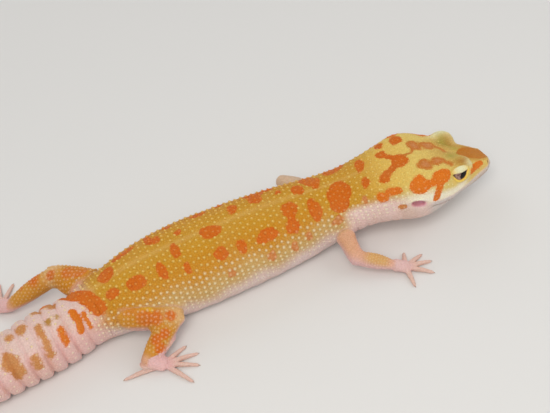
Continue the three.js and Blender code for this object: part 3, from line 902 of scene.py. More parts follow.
class Bench:
    # Short ways to add nodes. An input is either linked to another node's output or given a value.
    def __init__(self, tree):
        self.tree = tree

    def add(self, kind, output, inputs, **settings):
        node = self.tree.nodes.new(kind)
        for name, value in settings.items():
            setattr(node, name, value)
        for socket, value in inputs.items():
            if isinstance(value, bpy.types.NodeSocket):
                self.tree.links.new(value, node.inputs[socket])
            else:
                node.inputs[socket].default_value = value
        return node.outputs[output]

    def painted(self, name, output="Fac"):
        return self.add("ShaderNodeAttribute", output, {}, attribute_name=name)

    def place(self):
        return self.add("ShaderNodeTexCoord", "Object", {})

    def noise(self, scale, detail):
        inputs = {"Vector": self.place(), "Scale": scale, "Detail": detail}
        return self.add("ShaderNodeTexNoise", "Fac", inputs)

    def cells(self, scale):
        return self.add("ShaderNodeTexVoronoi", "Distance", {"Vector": self.place(), "Scale": scale})

    def sums(self, kind, first, second=0.0):
        return self.add("ShaderNodeMath", "Value", {0: first, 1: second}, operation=kind)

    def spread(self, value, low, high, bottom, top):
        inputs = {"Value": value, "From Min": low, "From Max": high, "To Min": bottom, "To Max": top}
        return self.add("ShaderNodeMapRange", "Result", inputs, interpolation_type="SMOOTHSTEP")

    def blend(self, share, under, over, kind="MIX"):
        inputs = {0: share, 6: under, 7: over}
        return self.add("ShaderNodeMix", 2, inputs, data_type="RGBA", blend_type=kind)

    def bump(self, height, strength, distance):
        inputs = {"Height": height, "Strength": strength, "Distance": distance * mm}
        return self.add("ShaderNodeBump", "Normal", inputs)


def newMaterial(name, values):
    material = bpy.data.materials.new(name)
    material.use_nodes = True
    shader = material.node_tree.nodes["Principled BSDF"]
    for socket, value in values.items():
        shader.inputs[socket].default_value = value
    return material, shader, Bench(material.node_tree)


# How the painted values become skin colour: each noise's scale and detail, and where it takes hold.
grainLook = {
    "edge": (620, 2), "edgeDepth": 1.1, "markFrom": (-0.22, 0.28),
    "markEdge": (1.5, 0.2, 0.0, 0.8), "markDark": (0.98, 0.84, 0.7, 1),
    "mottle": (95, 3), "mottleFrom": (0.45, 0.75, 0.0, 0.22), "mottleTint": (0.62, 0.33, 0.1, 1),
    "speck": (1900, 3), "speckFrom": (0.3, 0.7, 0.28, 0.0), "speckTint": (0.62, 0.45, 0.36, 1),
    "cells": 2100, "cellFrom": (0.0, 0.6, 1.0, 0.0), "fine": (4200, 2), "fineShare": 0.5,
}


def makeSkinGroup():
    # One group for skin and coat, so that both wear the same markings.
    look = grainLook
    group = bpy.data.node_groups.new("geckoSkin", "ShaderNodeTree")
    group.interface.new_socket(name="Colour", in_out="OUTPUT", socket_type="NodeSocketColor")
    group.interface.new_socket(name="Grain", in_out="OUTPUT", socket_type="NodeSocketFloat")
    output = group.nodes.new("NodeGroupOutput")
    bench = Bench(group)
    ragged = bench.sums("SUBTRACT", bench.noise(*look["edge"]), 0.5)
    ragged = bench.sums("MULTIPLY", ragged, look["edgeDepth"])
    inside = bench.sums("ADD", bench.painted("inside"), ragged)
    dark = bench.spread(inside, *look["markEdge"])
    mark = bench.blend(dark, bench.painted("markTint", "Color"), look["markDark"], "MULTIPLY")
    onMark = bench.spread(inside, *look["markFrom"], 0.0, 1.0)
    colour = bench.blend(onMark, bench.painted("ground", "Color"), mark)
    mottle = bench.spread(bench.noise(*look["mottle"]), *look["mottleFrom"])
    colour = bench.blend(mottle, colour, look["mottleTint"])
    speck = bench.spread(bench.noise(*look["speck"]), *look["speckFrom"])
    colour = bench.blend(speck, colour, look["speckTint"], "MULTIPLY")
    group.links.new(colour, output.inputs["Colour"])
    pebble = bench.spread(bench.cells(look["cells"]), *look["cellFrom"])
    grain = bench.sums("ADD", pebble, bench.sums("MULTIPLY", bench.noise(*look["fine"]), look["fineShare"]))
    group.links.new(grain, output.inputs["Grain"])
    return group


skinGroup = makeSkinGroup()


def makeSkinMaterial(name, look):
    material, shader, bench = newMaterial(name, {
        "Roughness": look["roughness"], "Specular IOR Level": look["shine"],
        "Subsurface Weight": look["glow"], "Subsurface Radius": (1.0, 0.45, 0.3),
        "Subsurface Scale": 0.7 * mm})
    links = material.node_tree.links
    tint = material.node_tree.nodes.new("ShaderNodeGroup")
    tint.node_tree = skinGroup
    colour = tint.outputs["Colour"]
    if look["crest"]:
        colour = bench.blend(bench.painted("lift"), colour, bench.painted("crest", "Color"))
    links.new(colour, shader.inputs["Base Color"])
    links.new(bench.bump(tint.outputs["Grain"], look["bump"], look["grain"]), shader.inputs["Normal"])
    return material


skinMaterial = makeSkinMaterial("geckoSkin", {
    "crest": False, "bump": 0.45, "grain": 0.12, "roughness": 0.5, "glow": 0.15, "shine": 0.2})
scaleMaterial = makeSkinMaterial("geckoScale", {
    "crest": True, "bump": 0.3, "grain": 0.06, "roughness": 0.42, "glow": 0.12, "shine": 0.24})
skin.data.materials.append(skinMaterial)


# Eyes and lids


def fromEye(side, shape):
    # Turns a shape about the eye's own centre into its place in the head.
    centre, ahead, upright, out = eyeFrame(side)
    return centre + shape[:, :1] * ahead + shape[:, 1:2] * upright + shape[:, 2:] * out


def makeEye(side, name):
    clearSelection()
    bpy.ops.mesh.primitive_uv_sphere_add(segments=64, ring_count=40, radius=eyeLook["radius"] * mm)
    eye = bpy.context.object
    eye.name = name
    shape = pointsOf(eye)
    radius = np.hypot(shape[:, 0], shape[:, 1])
    bulge = eyeLook["bulge"] * bell(radius, eyeLook["bulgeWidth"]) * (shape[:, 2] > 0)
    shape += shape / eyeLook["radius"] * bulge[:, None]
    addValues(eye, "eyeAcross", shape[:, 0])
    addValues(eye, "eyeHigh", shape[:, 1])
    setPoints(eye, fromEye(side, shape))
    if side > 0:
        eye.data.flip_normals()
    bpy.ops.object.shade_smooth()
    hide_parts("eye_right" if side < 0 else "eye_left")
    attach(eye, "root")
    return eye


def makeLids(side, name):
    # A roll round the opening, narrow below and a broad band above. The ring only lends it its faces.
    look = eyeLook
    clearSelection()
    bpy.ops.mesh.primitive_torus_add(major_segments=look["rings"], minor_segments=look["sides"],
                                     major_radius=2.4 * mm, minor_radius=0.4 * mm)
    lids = bpy.context.object
    lids.name = name
    loop = lidLoop(look["rings"])
    outward = outwardOf(loop["edge"])
    turns = 2 * math.pi * np.arange(look["sides"]) / look["sides"]
    cosine, sine = (np.sign(wave) * np.abs(wave) ** look["squareness"]
                    for wave in (np.cos(turns), np.sin(turns)))
    spread = loop["width"][:, None] * (0.5 + 0.5 * cosine) - look["lidOver"]
    lift = loop["height"][:, None] * (look["lidMiddle"] + (1 - look["lidMiddle"]) * sine) - look["lidSunk"]
    place = loop["edge"][:, None, :] + outward[:, None, :] * spread[:, :, None]
    flat = np.maximum(np.linalg.norm(place, axis=2), 1e-6)
    angle = np.minimum(flat / look["radius"], 1.5)
    radius = look["radius"] + lift
    across, high = (place[:, :, axis] / flat * np.sin(angle) * radius for axis in (0, 1))
    shape = np.stack([across, high, np.cos(angle) * radius], 2).reshape(-1, 3)
    setPoints(lids, fromEye(side, shape))
    addValues(lids, "upperLid", np.repeat(loop["upper"], look["sides"]))
    addValues(lids, "lidSpread", ((spread + look["lidOver"]) / loop["width"][:, None]).ravel())
    editWhole(bpy.ops.mesh.normals_make_consistent, inside=False)
    bpy.ops.object.shade_smooth()
    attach(lids, "root")
    return lids


# The slit's place and size take in the painted shadow under the upper lid as well as the pupil; "rim" is
# the colour of painted shade from the lids.
pupilLook = {
    "centre": (0.5, 0.45), "tilt": 26, "halfWidth": 0.95, "halfLength": 1.9, "ragged": 0.5,
    "pupilAndLidShadow": (0.004, 0.003, 0.003, 1), "veins": (1400, 6), "veinFrom": (0.38, 0.64),
    "irisDark": (0.19, 0.1, 0.075, 1), "irisLight": (0.42, 0.27, 0.24, 1),
    "amber": (0.4, 0.16, 0.03, 1), "rim": (0.05, 0.025, 0.015, 1),
}
lidLook = {
    "spacing": 0.36, "size": 0.2, "height": 0.09, "outer": 0.12, "facing": 0.15,
    "sizes": (0.9, 1.1), "shades": (0.95, 1.1), "stretch": 1.1,
    "upper": (0.88, 0.86, 0.56), "lower": (1.0, 0.72, 0.14),
    "mottle": (900, 4), "mottleTint": (0.82, 0.72, 0.6, 1), "cells": 2600, "bump": 0.6, "grain": 0.1,
}


def makeEyeMaterial():
    # A ragged upright slit in a veined iris, amber to the front and below, and painted shade of the lids at
    # its rim.
    look = pupilLook
    material, shader, bench = newMaterial("geckoEye", {
        "Roughness": 0.18, "Specular IOR Level": 0.1, "Coat Weight": 0.25, "Coat Roughness": 0.03})
    sums, spread, blend = bench.sums, bench.spread, bench.blend
    veins = bench.noise(*look["veins"])
    across = sums("SUBTRACT", bench.painted("eyeAcross"), look["centre"][0])
    high = sums("SUBTRACT", bench.painted("eyeHigh"), look["centre"][1])
    tilt = math.radians(look["tilt"])
    cosine, sine = math.cos(tilt), math.sin(tilt)
    slitAcross = sums("SUBTRACT", sums("MULTIPLY", across, cosine), sums("MULTIPLY", high, sine))
    slitHigh = sums("ADD", sums("MULTIPLY", across, sine), sums("MULTIPLY", high, cosine))
    wide = sums("POWER", sums("DIVIDE", sums("ABSOLUTE", slitAcross), look["halfWidth"]), 1.3)
    tall = sums("POWER", sums("DIVIDE", sums("ABSOLUTE", slitHigh), look["halfLength"]), 2.0)
    ragged = sums("MULTIPLY", sums("SUBTRACT", veins, 0.5), look["ragged"])
    # The black reaches wider and higher to the front than the pupil itself: it also holds the painted
    # shadow under the upper lid.
    slitAndLidShadow = sums("ADD", sums("ADD", wide, tall), ragged)
    squares = [sums("POWER", sums("ABSOLUTE", offset), 2.0) for offset in (across, high)]
    radius = sums("POWER", sums("ADD", *squares), 0.5)
    iris = blend(spread(veins, *look["veinFrom"], 0.0, 1.0), look["irisDark"], look["irisLight"])
    iris = blend(spread(sums("SUBTRACT", across, high), 0.2, 2.0, 0.0, 0.9), iris, look["amber"])
    # Painted shade: the iris darkens towards the edge of the opening, where the lids overhang the eye.
    iris = blend(spread(radius, 2.3, 3.0, 0.0, 1.0), iris, look["rim"])
    colour = blend(spread(slitAndLidShadow, 0.9, 1.1, 1.0, 0.0), iris, look["pupilAndLidShadow"])
    material.node_tree.links.new(colour, shader.inputs["Base Color"])
    return material


def makeLidMaterial():
    look = lidLook
    material, shader, bench = newMaterial("geckoLid", {"Roughness": 0.5, "Specular IOR Level": 0.25})
    links = material.node_tree.links
    band = bench.blend(bench.painted("upperLid"), (*look["lower"], 1), (*look["upper"], 1))
    colour = bench.blend(bench.noise(*look["mottle"]), band, look["mottleTint"], "MULTIPLY")
    links.new(colour, shader.inputs["Base Color"])
    links.new(bench.bump(bench.cells(look["cells"]), look["bump"], look["grain"]), shader.inputs["Normal"])
    return material


eyeMaterial = makeEyeMaterial()
lidMaterial = makeLidMaterial()
lidPieces = []
for side, name in ((-1, "Right"), (1, "Left")):
    makeEye(side, "eye" + name).data.materials.append(eyeMaterial)
    lids = makeLids(side, "lids" + name)
    lids.data.materials.append(lidMaterial)
    lidPieces.append((side, lids))
print("eyes and lids made")

# Tubercles, scales and claws


coatFloor = 0.02


def makeDome(name, look):
    # A closed low dome, one unit in radius and height, with its foot on the level plane.
    clearSelection()
    bpy.ops.mesh.primitive_circle_add(vertices=look["sides"], radius=1.0, fill_type="NGON")
    dome = bpy.context.object
    dome.name = name
    bpy.ops.object.mode_set(mode="EDIT")
    bpy.ops.mesh.select_all(action="SELECT")
    radius, height = 1.0, 0.0
    for nextRadius, nextHeight in look["profile"]:
        bpy.ops.mesh.extrude_region_move(TRANSFORM_OT_translate={"value": (0, 0, nextHeight - height)})
        share = nextRadius / radius
        bpy.ops.transform.resize(value=(share, share, 1), center_override=(0, 0, nextHeight))
        radius, height = nextRadius, nextHeight
    editWhole(bpy.ops.mesh.normals_make_consistent, inside=False)
    bpy.ops.object.shade_smooth()
    for face in dome.data.polygons:
        face.use_smooth = face.center.z > 0
    return dome, pointsOf(dome) * mm


# The unwrap: the body rolled out flat, with each leg's top and underside in a row below it.
unwrapLook = {
    "patch": 0.003, "edge": 0.003, "margin": 0.02, "bodyLong": 0.96, "bodyMiddle": 0.66, "bodyRound": 0.32,
    "perLeg": 0.24, "perSole": 0.12, "perMm": (0.0025, 0.0055), "legMargin": 14,
}


def unwrapPlace(paint, points, normals):
    # Each root's place on the unwrap.
    look = unwrapLook
    across = look["margin"] + look["bodyLong"] * paint["at"] / bodyLength
    along = look["bodyMiddle"] + look["bodyRound"] * paint["turn"] / 180
    under = look["perSole"] * (normals[:, 2] < -0.1)
    for number, leg in enumerate(legPlaces.values()):
        corner = np.array(leg["chain"])[:, :2].min(axis=0) - look["legMargin"]
        here = (paint["limb"] > 0.5) & (paint["leg"] == number)
        east, north = (look["perMm"] * (points[:, :2] - corner)).T
        across = np.where(here, look["margin"] + look["perLeg"] * number + under + east, across)
        along = np.where(here, look["margin"] + north, along)
    return np.clip(across, look["edge"], 1 - look["edge"]), np.clip(along, look["edge"], 1 - look["edge"])


def growScales(name, look, roots, slotName):
    # Copies one dome onto every root, each turned to the skin and sized for its place.
    dome, shape = makeDome(name, look)
    count, each = len(roots["points"]), len(shape)
    applyModifier(dome, "ARRAY", count=count, fit_type="FIXED_COUNT")
    points, normals = roots["points"], roots["normals"]
    size, height, stretch = (roots[key][:, None, None] for key in ("size", "height", "stretch"))
    along = roots["forward"] - normals * np.sum(roots["forward"] * normals, axis=1, keepdims=True)
    along /= np.maximum(np.linalg.norm(along, axis=1, keepdims=True), 1e-6)
    beside = np.cross(normals, along)
    leaning = shape[:, 0] - look["lean"] * shape[:, 2] ** 2
    placed = (points[:, None, :] - look["sink"] * size * normals[:, None, :]
              + along[:, None, :] * (size * stretch) * leaning[None, :, None]
              + beside[:, None, :] * size * shape[None, :, 1, None]
              + normals[:, None, :] * height * shape[None, :, 2, None]).reshape(-1, 3)
    placed[:, 2] = np.maximum(placed[:, 2], coatFloor)
    setPoints(dome, placed)
    wearPaint(dome, roots["paint"], each)
    addColours(dome, "crest", np.repeat(roots["crest"], each, axis=0))
    addValues(dome, "lift", np.tile(shape[:, 2] * look["lift"], count))
    while dome.data.uv_layers:
        dome.data.uv_layers.remove(dome.data.uv_layers[0])
    corners = read(dome.data.loops, "vertex_index", 1, np.int32)
    middles = unwrapPlace(roots["paint"], points, normals)
    flat = np.stack([np.repeat(middle, each) + np.tile(shape[:, axis], count) * unwrapLook["patch"] / 2
                     for axis, middle in enumerate(middles)], 1)
    dome.data.uv_layers.new(name="OFBake").data.foreach_set("uv", flat[corners].astype(np.float32).ravel())
    dome.data.materials.append(scaleMaterial)
    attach(dome, "root")
    print(name, count, "copies", triangleCount(dome), "triangles")


skinTree = BVHTree.FromObject(skin, bpy.context.evaluated_depsgraph_get())
tubercleRows = [
    {"from": 16.5, "to": 26, "turnTo": 88, "spacing": 1.5, "dense": 1.4, "size": 0.33, "height": 0.15},
    {"from": 26, "to": 37, "turnTo": 96, "spacing": 1.75, "dense": 1.45, "size": 0.42, "height": 0.26},
    {"from": 37, "to": 52, "turnTo": 100, "spacing": 1.95, "dense": 1.5, "size": 0.46, "height": 0.36},
    {"from": 52, "to": 133, "turnTo": 112, "spacing": 2.05, "dense": 1.66, "size": 0.55, "height": 0.48},
]
tubercleLook = {
    "sides": 8, "profile": [(0.78, 0.34), (0.5, 0.72), (0.2, 1.0)], "lean": 0.25, "sink": 0.12, "lift": 1.0,
    "seed": 5, "firstTurn": 6, "oddTurn": 9, "rowStep": 0.87, "wander": (-0.14, 0.14), "sizes": (0.88, 1.1),
    # Larger low on the flank, smaller where the belly begins, and denser down the side.
    "flankMore": 0.16, "flank": 76, "flankReach": 14, "bellyLess": 0.3, "belly": (90, 110),
    "denseFrom": (55, 75),
    # How far they keep off the legs' roots, eyes, ears and lips, and how much skin colour their tops keep.
    "limbFrom": 0.5, "trunkTo": 0.25, "eye": 0.5, "ear": 2.0, "mouth": 2.6, "mouthEnd": 26, "own": 0.35,
}
tailRows = {"turn": 8, "turnTo": 118, "spacing": 2.5, "size": 0.42, "height": 0.3, "stretch": 1.15,
            "wander": (-0.15, 0.15), "sizes": (0.9, 1.1), "girth": 8, "smallest": 0.5, "end": (4, 2)}
limbRows = [
    {"legs": (0,), "from": 1.3, "to": 1.92, "step": 0.95, "size": 0.31, "height": 0.22},
    {"legs": (2, 3), "from": 0.15, "to": 1.2, "step": 1.5, "size": 0.53, "height": 0.36},
    {"legs": (2, 3), "from": 1.2, "to": 1.9, "step": 1.25, "size": 0.44, "height": 0.28},
]
limbTurns = {"reach": 100, "odd": 13, "gap": 9, "leastGap": 1.5, "lowest": -0.15, "sizes": (0.85, 1.1)}


def castFrom(origin, direction):
    # Where a ray meets the skin, the skin's normal there and the length of the ray.
    place, normal, _, gap = skinTree.ray_cast(Vector(origin * mm), Vector(direction))
    return (np.array(place) / mm, np.array(normal), gap / mm) if place else None


def castOut(at, turn):
    # A ray from the spine, at a bearing round the body.
    around = math.radians(turn)
    origin = spine.place(at, 0.0, 0.0)
    return castFrom(origin, spine.place(at, -math.sin(around), math.cos(around)) - origin)


def trunkTubercles(draw):
    look = tubercleLook
    for rows in tubercleRows:
        at, odd = rows["from"], False
        while at < rows["to"]:
            for side in (-1, 1):
                turn = side * (look["firstTurn"] + look["oddTurn"] * odd)
                while abs(turn) < rows["turnTo"]:
                    here = at + draw.uniform(*look["wander"])
                    hit = castOut(here, turn + draw.uniform(-1, 1))
                    if hit is None:
                        break
                    size = draw.uniform(*look["sizes"])
                    size *= 1 + look["flankMore"] * bell(abs(turn) - look["flank"], look["flankReach"])
                    size *= 1 - look["bellyLess"] * smoothStep(*look["belly"], abs(turn))
                    yield hit[0], hit[1], rows["size"] * size, rows["height"] * size, 1.0, False
                    closer = smoothStep(*look["denseFrom"], abs(turn))
                    spacing = rows["spacing"] + (rows["dense"] - rows["spacing"]) * closer
                    turn += side * math.degrees(spacing / hit[2])
            at += rows["spacing"] * look["rowStep"]
            odd = not odd


def tailTubercles(draw):
    # One row round the middle of each ring.
    rows = tailRows
    ringEnd, rowEnd = (bodyLength - gap for gap in rows["end"])
    ring = 0
    while tailLook["start"] + ring * tailLook["ring"] < ringEnd:
        at = tailLook["start"] + (ring + 0.5) * tailLook["ring"]
        for side in (-1, 1):
            turn = side * rows["turn"]
            while abs(turn) < rows["turnTo"] and at < rowEnd:
                hit = castOut(at + draw.uniform(*rows["wander"]), turn)
                if hit is None:
                    break
                size = draw.uniform(*rows["sizes"]) * min(1, hit[2] / rows["girth"] + 0.2)
                yield hit[0], hit[1], rows["size"] * size, rows["height"] * size, rows["stretch"], False
                turn += side * math.degrees(rows["spacing"] * max(size, rows["smallest"]) / hit[2])
        ring += 1


def boneTubercles(rows, base, start, end, draw):
    # Rows over the top and sides of one bone.
    look = limbTurns
    length = np.linalg.norm(end - start)
    along = (end - start) / length
    aside = unit(np.cross(along, [0, 0, 1.0]))
    upward = np.cross(aside, along)
    rowStep = rows["step"] * tubercleLook["rowStep"]
    for ring in range(int(length / rowStep) + 1):
        share = ring * rowStep / length
        if not rows["from"] <= base + share <= rows["to"]:
            continue
        bearing = -look["reach"] + look["odd"] * (ring % 2)
        while bearing < look["reach"]:
            around = math.radians(bearing)
            hit = castFrom(start + along * share * length,
                           aside * math.sin(around) + upward * math.cos(around))
            if hit is None:
                break
            place, normal, gap = hit
            if gap < look["gap"] and normal[2] > look["lowest"]:
                size = draw.uniform(*look["sizes"])
                yield place, normal, rows["size"] * size, rows["height"] * size, 1.0, True
            bearing += math.degrees(rows["step"] / max(gap, look["leastGap"]))


def allTubercles():
    draw = random.Random(tubercleLook["seed"])
    found = [*trunkTubercles(draw), *tailTubercles(draw)]
    draw = random.Random(tubercleLook["seed"] + 1)
    for rows in limbRows:
        for number in rows["legs"]:
            chain = np.array(list(legPlaces.values())[number]["chain"])
            for base in (0, 1):
                found += boneTubercles(rows, base, chain[base], chain[base + 1], draw)
    return found


def rootsFrom(places, normals, sizes, heights, stretches, headings=None):
    roots = {"points": np.array(places), "normals": np.array(normals), "size": np.array(sizes),
             "height": np.array(heights), "stretch": np.array(stretches)}
    roots["paint"] = paintOf(roots["points"])
    if headings is None:
        headings = spine.look(spine.forward, roots["paint"]["at"])
    roots["forward"] = np.array(headings)
    return roots


def chosen(values, keep):
    return {key: chosen(value, keep) if isinstance(value, dict) else value[keep]
            for key, value in values.items()}


crestLook = {"yellow": (0.86, 0.68, 0.22), "cream": (0.9, 0.84, 0.58), "creamFrom": (54, 72),
             "markFrom": (-0.1, 0.3), "markOwn": 0.68, "limbCream": 0.4}


def crestOf(paint, ownShare):
    # The colour of a tubercle's top: paler than the skin, and least so on the marks.
    look = crestLook
    yellow, cream = np.array(look["yellow"]), np.array(look["cream"])
    top = yellow + (cream - yellow) * smoothStep(*look["creamFrom"], np.abs(paint["turn"]))[:, None]
    onMark = smoothStep(*look["markFrom"], paint["inside"])[:, None]
    own = paint["ground"] + (paint["tint"] - paint["ground"]) * onMark
    top += (own + (cream - own) * look["limbCream"] - top) * paint["limb"][:, None]
    share = ownShare + (1 - ownShare) * look["markOwn"] * onMark
    return top + (own - top) * share


def clearOfEyes(points, margin):
    keep = np.ones(len(points), dtype=bool)
    for side in (-1, 1):
        across, high, reach, _ = onEyeball(points, *eyeFrame(side))
        near = np.nonzero((np.hypot(across, high) < eyeLook["near"]) & (reach < eyeLook["scaleReach"]))[0]
        if len(near):
            keep[near] &= lidGap(across[near], high[near])[1] > margin
    return keep


# Each region's slot, whether it lies on the legs, and its stretch of the body or of the leg.
regions = {
    "Head": ("head_skin", False, -math.inf, 37), "Shoulders": ("back_skin", False, 37, 84),
    "Hips": ("back_skin", False, 84, 132), "Tail": ("tail_skin", False, 132, math.inf),
    "Legs": ("leg_skin", True, -math.inf, 1.95), "Feet": ("foot_skin", True, 1.95, math.inf),
}


def growByRegion(kind, look, roots):
    paint = roots["paint"]
    for region, (slotName, onLimb, low, high) in regions.items():
        along = paint["down"] if onLimb else paint["at"]
        here = ((paint["limb"] >= 0.5) == onLimb) & (along >= low) & (along < high)
        if here.any():
            growScales(kind + region, look, chosen(roots, here), slotName)


def tubercleRoots():
    *measures, onLegs = zip(*allTubercles())
    roots = rootsFrom(*measures)
    paint = roots["paint"]
    look = tubercleLook
    keep = np.where(onLegs, paint["limb"] > look["limbFrom"], paint["limb"] < look["trunkTo"])
    keep &= clearOfEyes(roots["points"], look["eye"]) & (paint["ear"] > look["ear"])
    keep &= (paint["mouth"] > look["mouth"]) | (paint["at"] > look["mouthEnd"])
    roots = chosen(roots, keep)
    roots["crest"] = crestOf(roots["paint"], look["own"])
    return roots


tubercles = tubercleRoots()
growByRegion("tubercles", tubercleLook, tubercles)

scaleLook = {
    "sides": 6, "profile": [(0.88, 0.55), (0.54, 1.0)], "lean": 0.15, "sink": 0.22, "lift": 0.5, "seed": 8,
    # Bare skin round the ear, nostril, eye, mouth line and tail grooves.
    "ear": 1.3, "nostril": 0.55, "eye": 0.1, "mouth": 1.25, "mouthEnd": 22,
    "groove": 0.13, "grooveFrom": 138,
    # Shares of the spacing: the gap kept, the half width, and of a tubercle's size the gap round it.
    "gap": 0.9, "size": 0.56, "sizes": (0.92, 1.06), "round": 0.88, "stretch": 1.08, "heights": (0.85, 1.2),
    "own": 0.88, "shades": (0.93, 1.12), "trials": 11,
}
scaleSpacing = {"head": 0.6, "back": 0.7, "belly": 0.9, "tail": 0.72, "limb": 0.56, "foot": 0.44}
scaleHeight = {"head": 0.4, "back": 0.34, "belly": 0.32, "tail": 0.28, "limb": 0.36, "foot": 0.46}


def blendByPlace(values, paint):
    # One of the scales' measures, changing smoothly from part to part of the body.
    low = smoothStep(90, 115, np.abs(paint["turn"]))
    blended = values["back"] + (values["belly"] - values["back"]) * low
    shares = {"head": smoothStep(38, 30, paint["at"]), "tail": smoothStep(126, 136, paint["at"]),
              "limb": paint["limb"], "foot": paint["limb"] * smoothStep(1.8, 2.3, paint["down"])}
    for name, share in shares.items():
        blended += (values[name] - blended) * share
    return blended


def scatterOver(piece, spacing, allowed, draw):
    # Trial places over the faces, thicker where the spacing is closer.
    points, normals = pointsOf(piece), normalsOf(piece)
    piece.data.calc_loop_triangles()
    faces = read(piece.data.loop_triangles, "vertices", 3, np.int32)
    faces = faces[allowed[faces].all(axis=1)]
    first, second, third = (points[faces[:, corner]] for corner in range(3))
    weight = 0.5 * np.linalg.norm(np.cross(second - first, third - first), axis=1)
    weight /= spacing[faces].mean(axis=1) ** 2
    picked = draw.choice(len(faces), int(weight.sum() * scaleLook["trials"]), p=weight / weight.sum())
    shares = draw.dirichlet((1, 1, 1), len(picked))[:, :, None]
    corners = faces[picked]
    places = (points[corners] * shares).sum(axis=1)
    direction = unit((normals[corners] * shares).sum(axis=1))
    return places, direction, (spacing[corners] * shares[:, :, 0]).sum(axis=1)


def treeOf(points):
    tree = KDTree(len(points))
    for number, place in enumerate(points):
        tree.insert(Vector(place), number)
    tree.balance()
    return tree


def pack(points, spacing, order):
    # Keeps places one by one, each clearing the others within its spacing.
    tree = treeOf(points)
    taken = np.zeros(len(points), dtype=bool)
    picked = []
    for number in order:
        if not taken[number]:
            picked.append(number)
            for _, near, _ in tree.find_range(Vector(points[number]), spacing[number] * scaleLook["gap"]):
                taken[near] = True
    return np.array(picked)


def scaleRoots():
    # Small scales fill the skin between the tubercles, packed as close as their size allows.
    look = scaleLook
    paint = skinPaint
    draw = np.random.default_rng(look["seed"])
    allowed = (paint["ear"] > look["ear"]) & (paint["nostril"] > look["nostril"])
    allowed &= clearOfEyes(pointsOf(skin), look["eye"])
    allowed &= (np.abs(paint["mouth"]) > look["mouth"]) | (paint["at"] > look["mouthEnd"])
    inRing = ringShare(paint["at"], paint["turn"])
    allowed &= ((np.minimum(inRing, 1 - inRing) > look["groove"]) | (paint["at"] < look["grooveFrom"])
                | (paint["limb"] > 0))
    points, normals, spacing = scatterOver(skin, blendByPlace(scaleSpacing, paint), allowed, draw)
    bumps = treeOf(tubercles["points"])
    nearest = [bumps.find(Vector(place))[1:] for place in points]
    clear = np.array([gap > look["round"] * tubercles["size"][number] for number, gap in nearest])
    points, normals, spacing = points[clear], normals[clear], spacing[clear]
    # From the snout backwards, nearly in order.
    picked = pack(points, spacing, np.argsort(-points[:, 0] + draw.normal(0, 0.1, len(points))))
    count = len(picked)
    size = spacing[picked] * look["size"] * draw.uniform(*look["sizes"], count)
    roots = rootsFrom(points[picked], normals[picked], size, size, np.full(count, look["stretch"]))
    heights = size * blendByPlace(scaleHeight, roots["paint"])
    roots["height"] = heights * draw.uniform(*look["heights"], count)
    own = crestOf(roots["paint"], look["own"])
    roots["crest"] = np.clip(own * draw.uniform(*look["shades"], count)[:, None], 0, 1)
    return roots


growByRegion("scales", scaleLook, scaleRoots())

lipLook = {
    "sides": 8, "profile": [(0.84, 0.7), (0.6, 1.0)], "lean": 0, "sink": 0.2, "lift": 0.3,
    "from": 1.4, "to": 21.5, "spacing": 1.5, "off": 0.66, "ahead": 0.25, "size": 0.5, "height": 0.14,
    "stretch": 1.42, "pale": 1.1,
}


def lipPlates():
    # A row of plates above and below the mouth on each side.
    look = lipLook
    found = []
    for off in (look["off"], -look["off"]):
        for at in np.arange(look["from"], look["to"], look["spacing"]):
            here = at + (0.5 * look["spacing"] if off < 0 else 0)
            forward, left = spine.look(spine.forward, here), spine.look(spine.left, here)
            origin = spine.place(here, 0.0, mouthRise(here) + off)
            for side in (-1, 1):
                hit = castFrom(origin, side * left + look["ahead"] * forward)
                if hit:
                    found.append((hit[0], hit[1], look["size"], look["height"], look["stretch"], forward))
    return found


lips = rootsFrom(*zip(*lipPlates()))
lips["crest"] = np.clip(lips["paint"]["ground"] * lipLook["pale"], 0, 1)
growScales("lipPlates", lipLook, lips, "head_skin")


def lidScaleRoots():
    # Very fine scales over the outer faces of the lids.
    look = lidLook
    draw = np.random.default_rng(scaleLook["seed"] + 1)
    found = []
    for side, lids in lidPieces:
        out = eyeFrame(side)[3]
        across, upper = (read(lids.data.attributes[name].data, "value", 1, np.float32)
                         for name in ("lidSpread", "upperLid"))
        allowed = (across > look["outer"]) & (normalsOf(lids) @ out > look["facing"])
        points, normals, _ = scatterOver(lids, np.full(len(across), look["spacing"]), allowed, draw)
        picked = pack(points, np.full(len(points), look["spacing"]), np.arange(len(points)))
        lidPoints = pointsOf(lids)
        own = [upper[np.argmin(np.linalg.norm(lidPoints - place, axis=1))] for place in points[picked]]
        found.append((points[picked], normals[picked], np.array(own)))
    points, normals, own = (np.concatenate(parts) for parts in zip(*found))
    count = len(points)
    size = look["size"] * draw.uniform(*look["sizes"], count)
    height, stretch = np.full(count, look["height"]), np.full(count, look["stretch"])
    roots = rootsFrom(points, normals, size, height, stretch)
    lower = np.array(look["lower"])
    roots["paint"]["ground"] = lower + (np.array(look["upper"]) - lower) * own[:, None]
    roots["paint"]["inside"] = np.full(count, -deepest)
    roots["crest"] = np.clip(roots["paint"]["ground"] * draw.uniform(*look["shades"], count)[:, None], 0, 1)
    return roots


growScales("lidScales", scaleLook, lidScaleRoots(), "head_skin")

clawLook = {
    "sides": 8, "profile": [(0.95, 0.25), (0.72, 0.5), (0.46, 0.76), (0.14, 1.0)],
    "lean": -1.5, "sink": 0.9, "lift": 1.0, "size": 0.24, "length": 1.25, "height": 0.6, "stretch": 1.25,
    "back": 0.25, "raised": 0.12,
    "horn": (0.36, 0.2, 0.13),
}


def clawRoots():
    look = clawLook
    found = []
    for leg in legPlaces.values():
        for tip in leg["tips"]:
            outward = unit(np.array(tip) - leg["chain"][3][:2])
            place = (*(tip - look["back"] * outward), look["height"])
            found.append((place, (*outward, look["raised"]), look["size"], look["length"], look["stretch"],
                          (0.0, 0.0, -1.0)))
    return found


claws = rootsFrom(*zip(*clawRoots()))
claws["crest"] = np.tile(clawLook["horn"], (len(claws["points"]), 1))
growScales("claws", clawLook, claws, "foot_skin")
print("coat made")


# Floor, light and camera

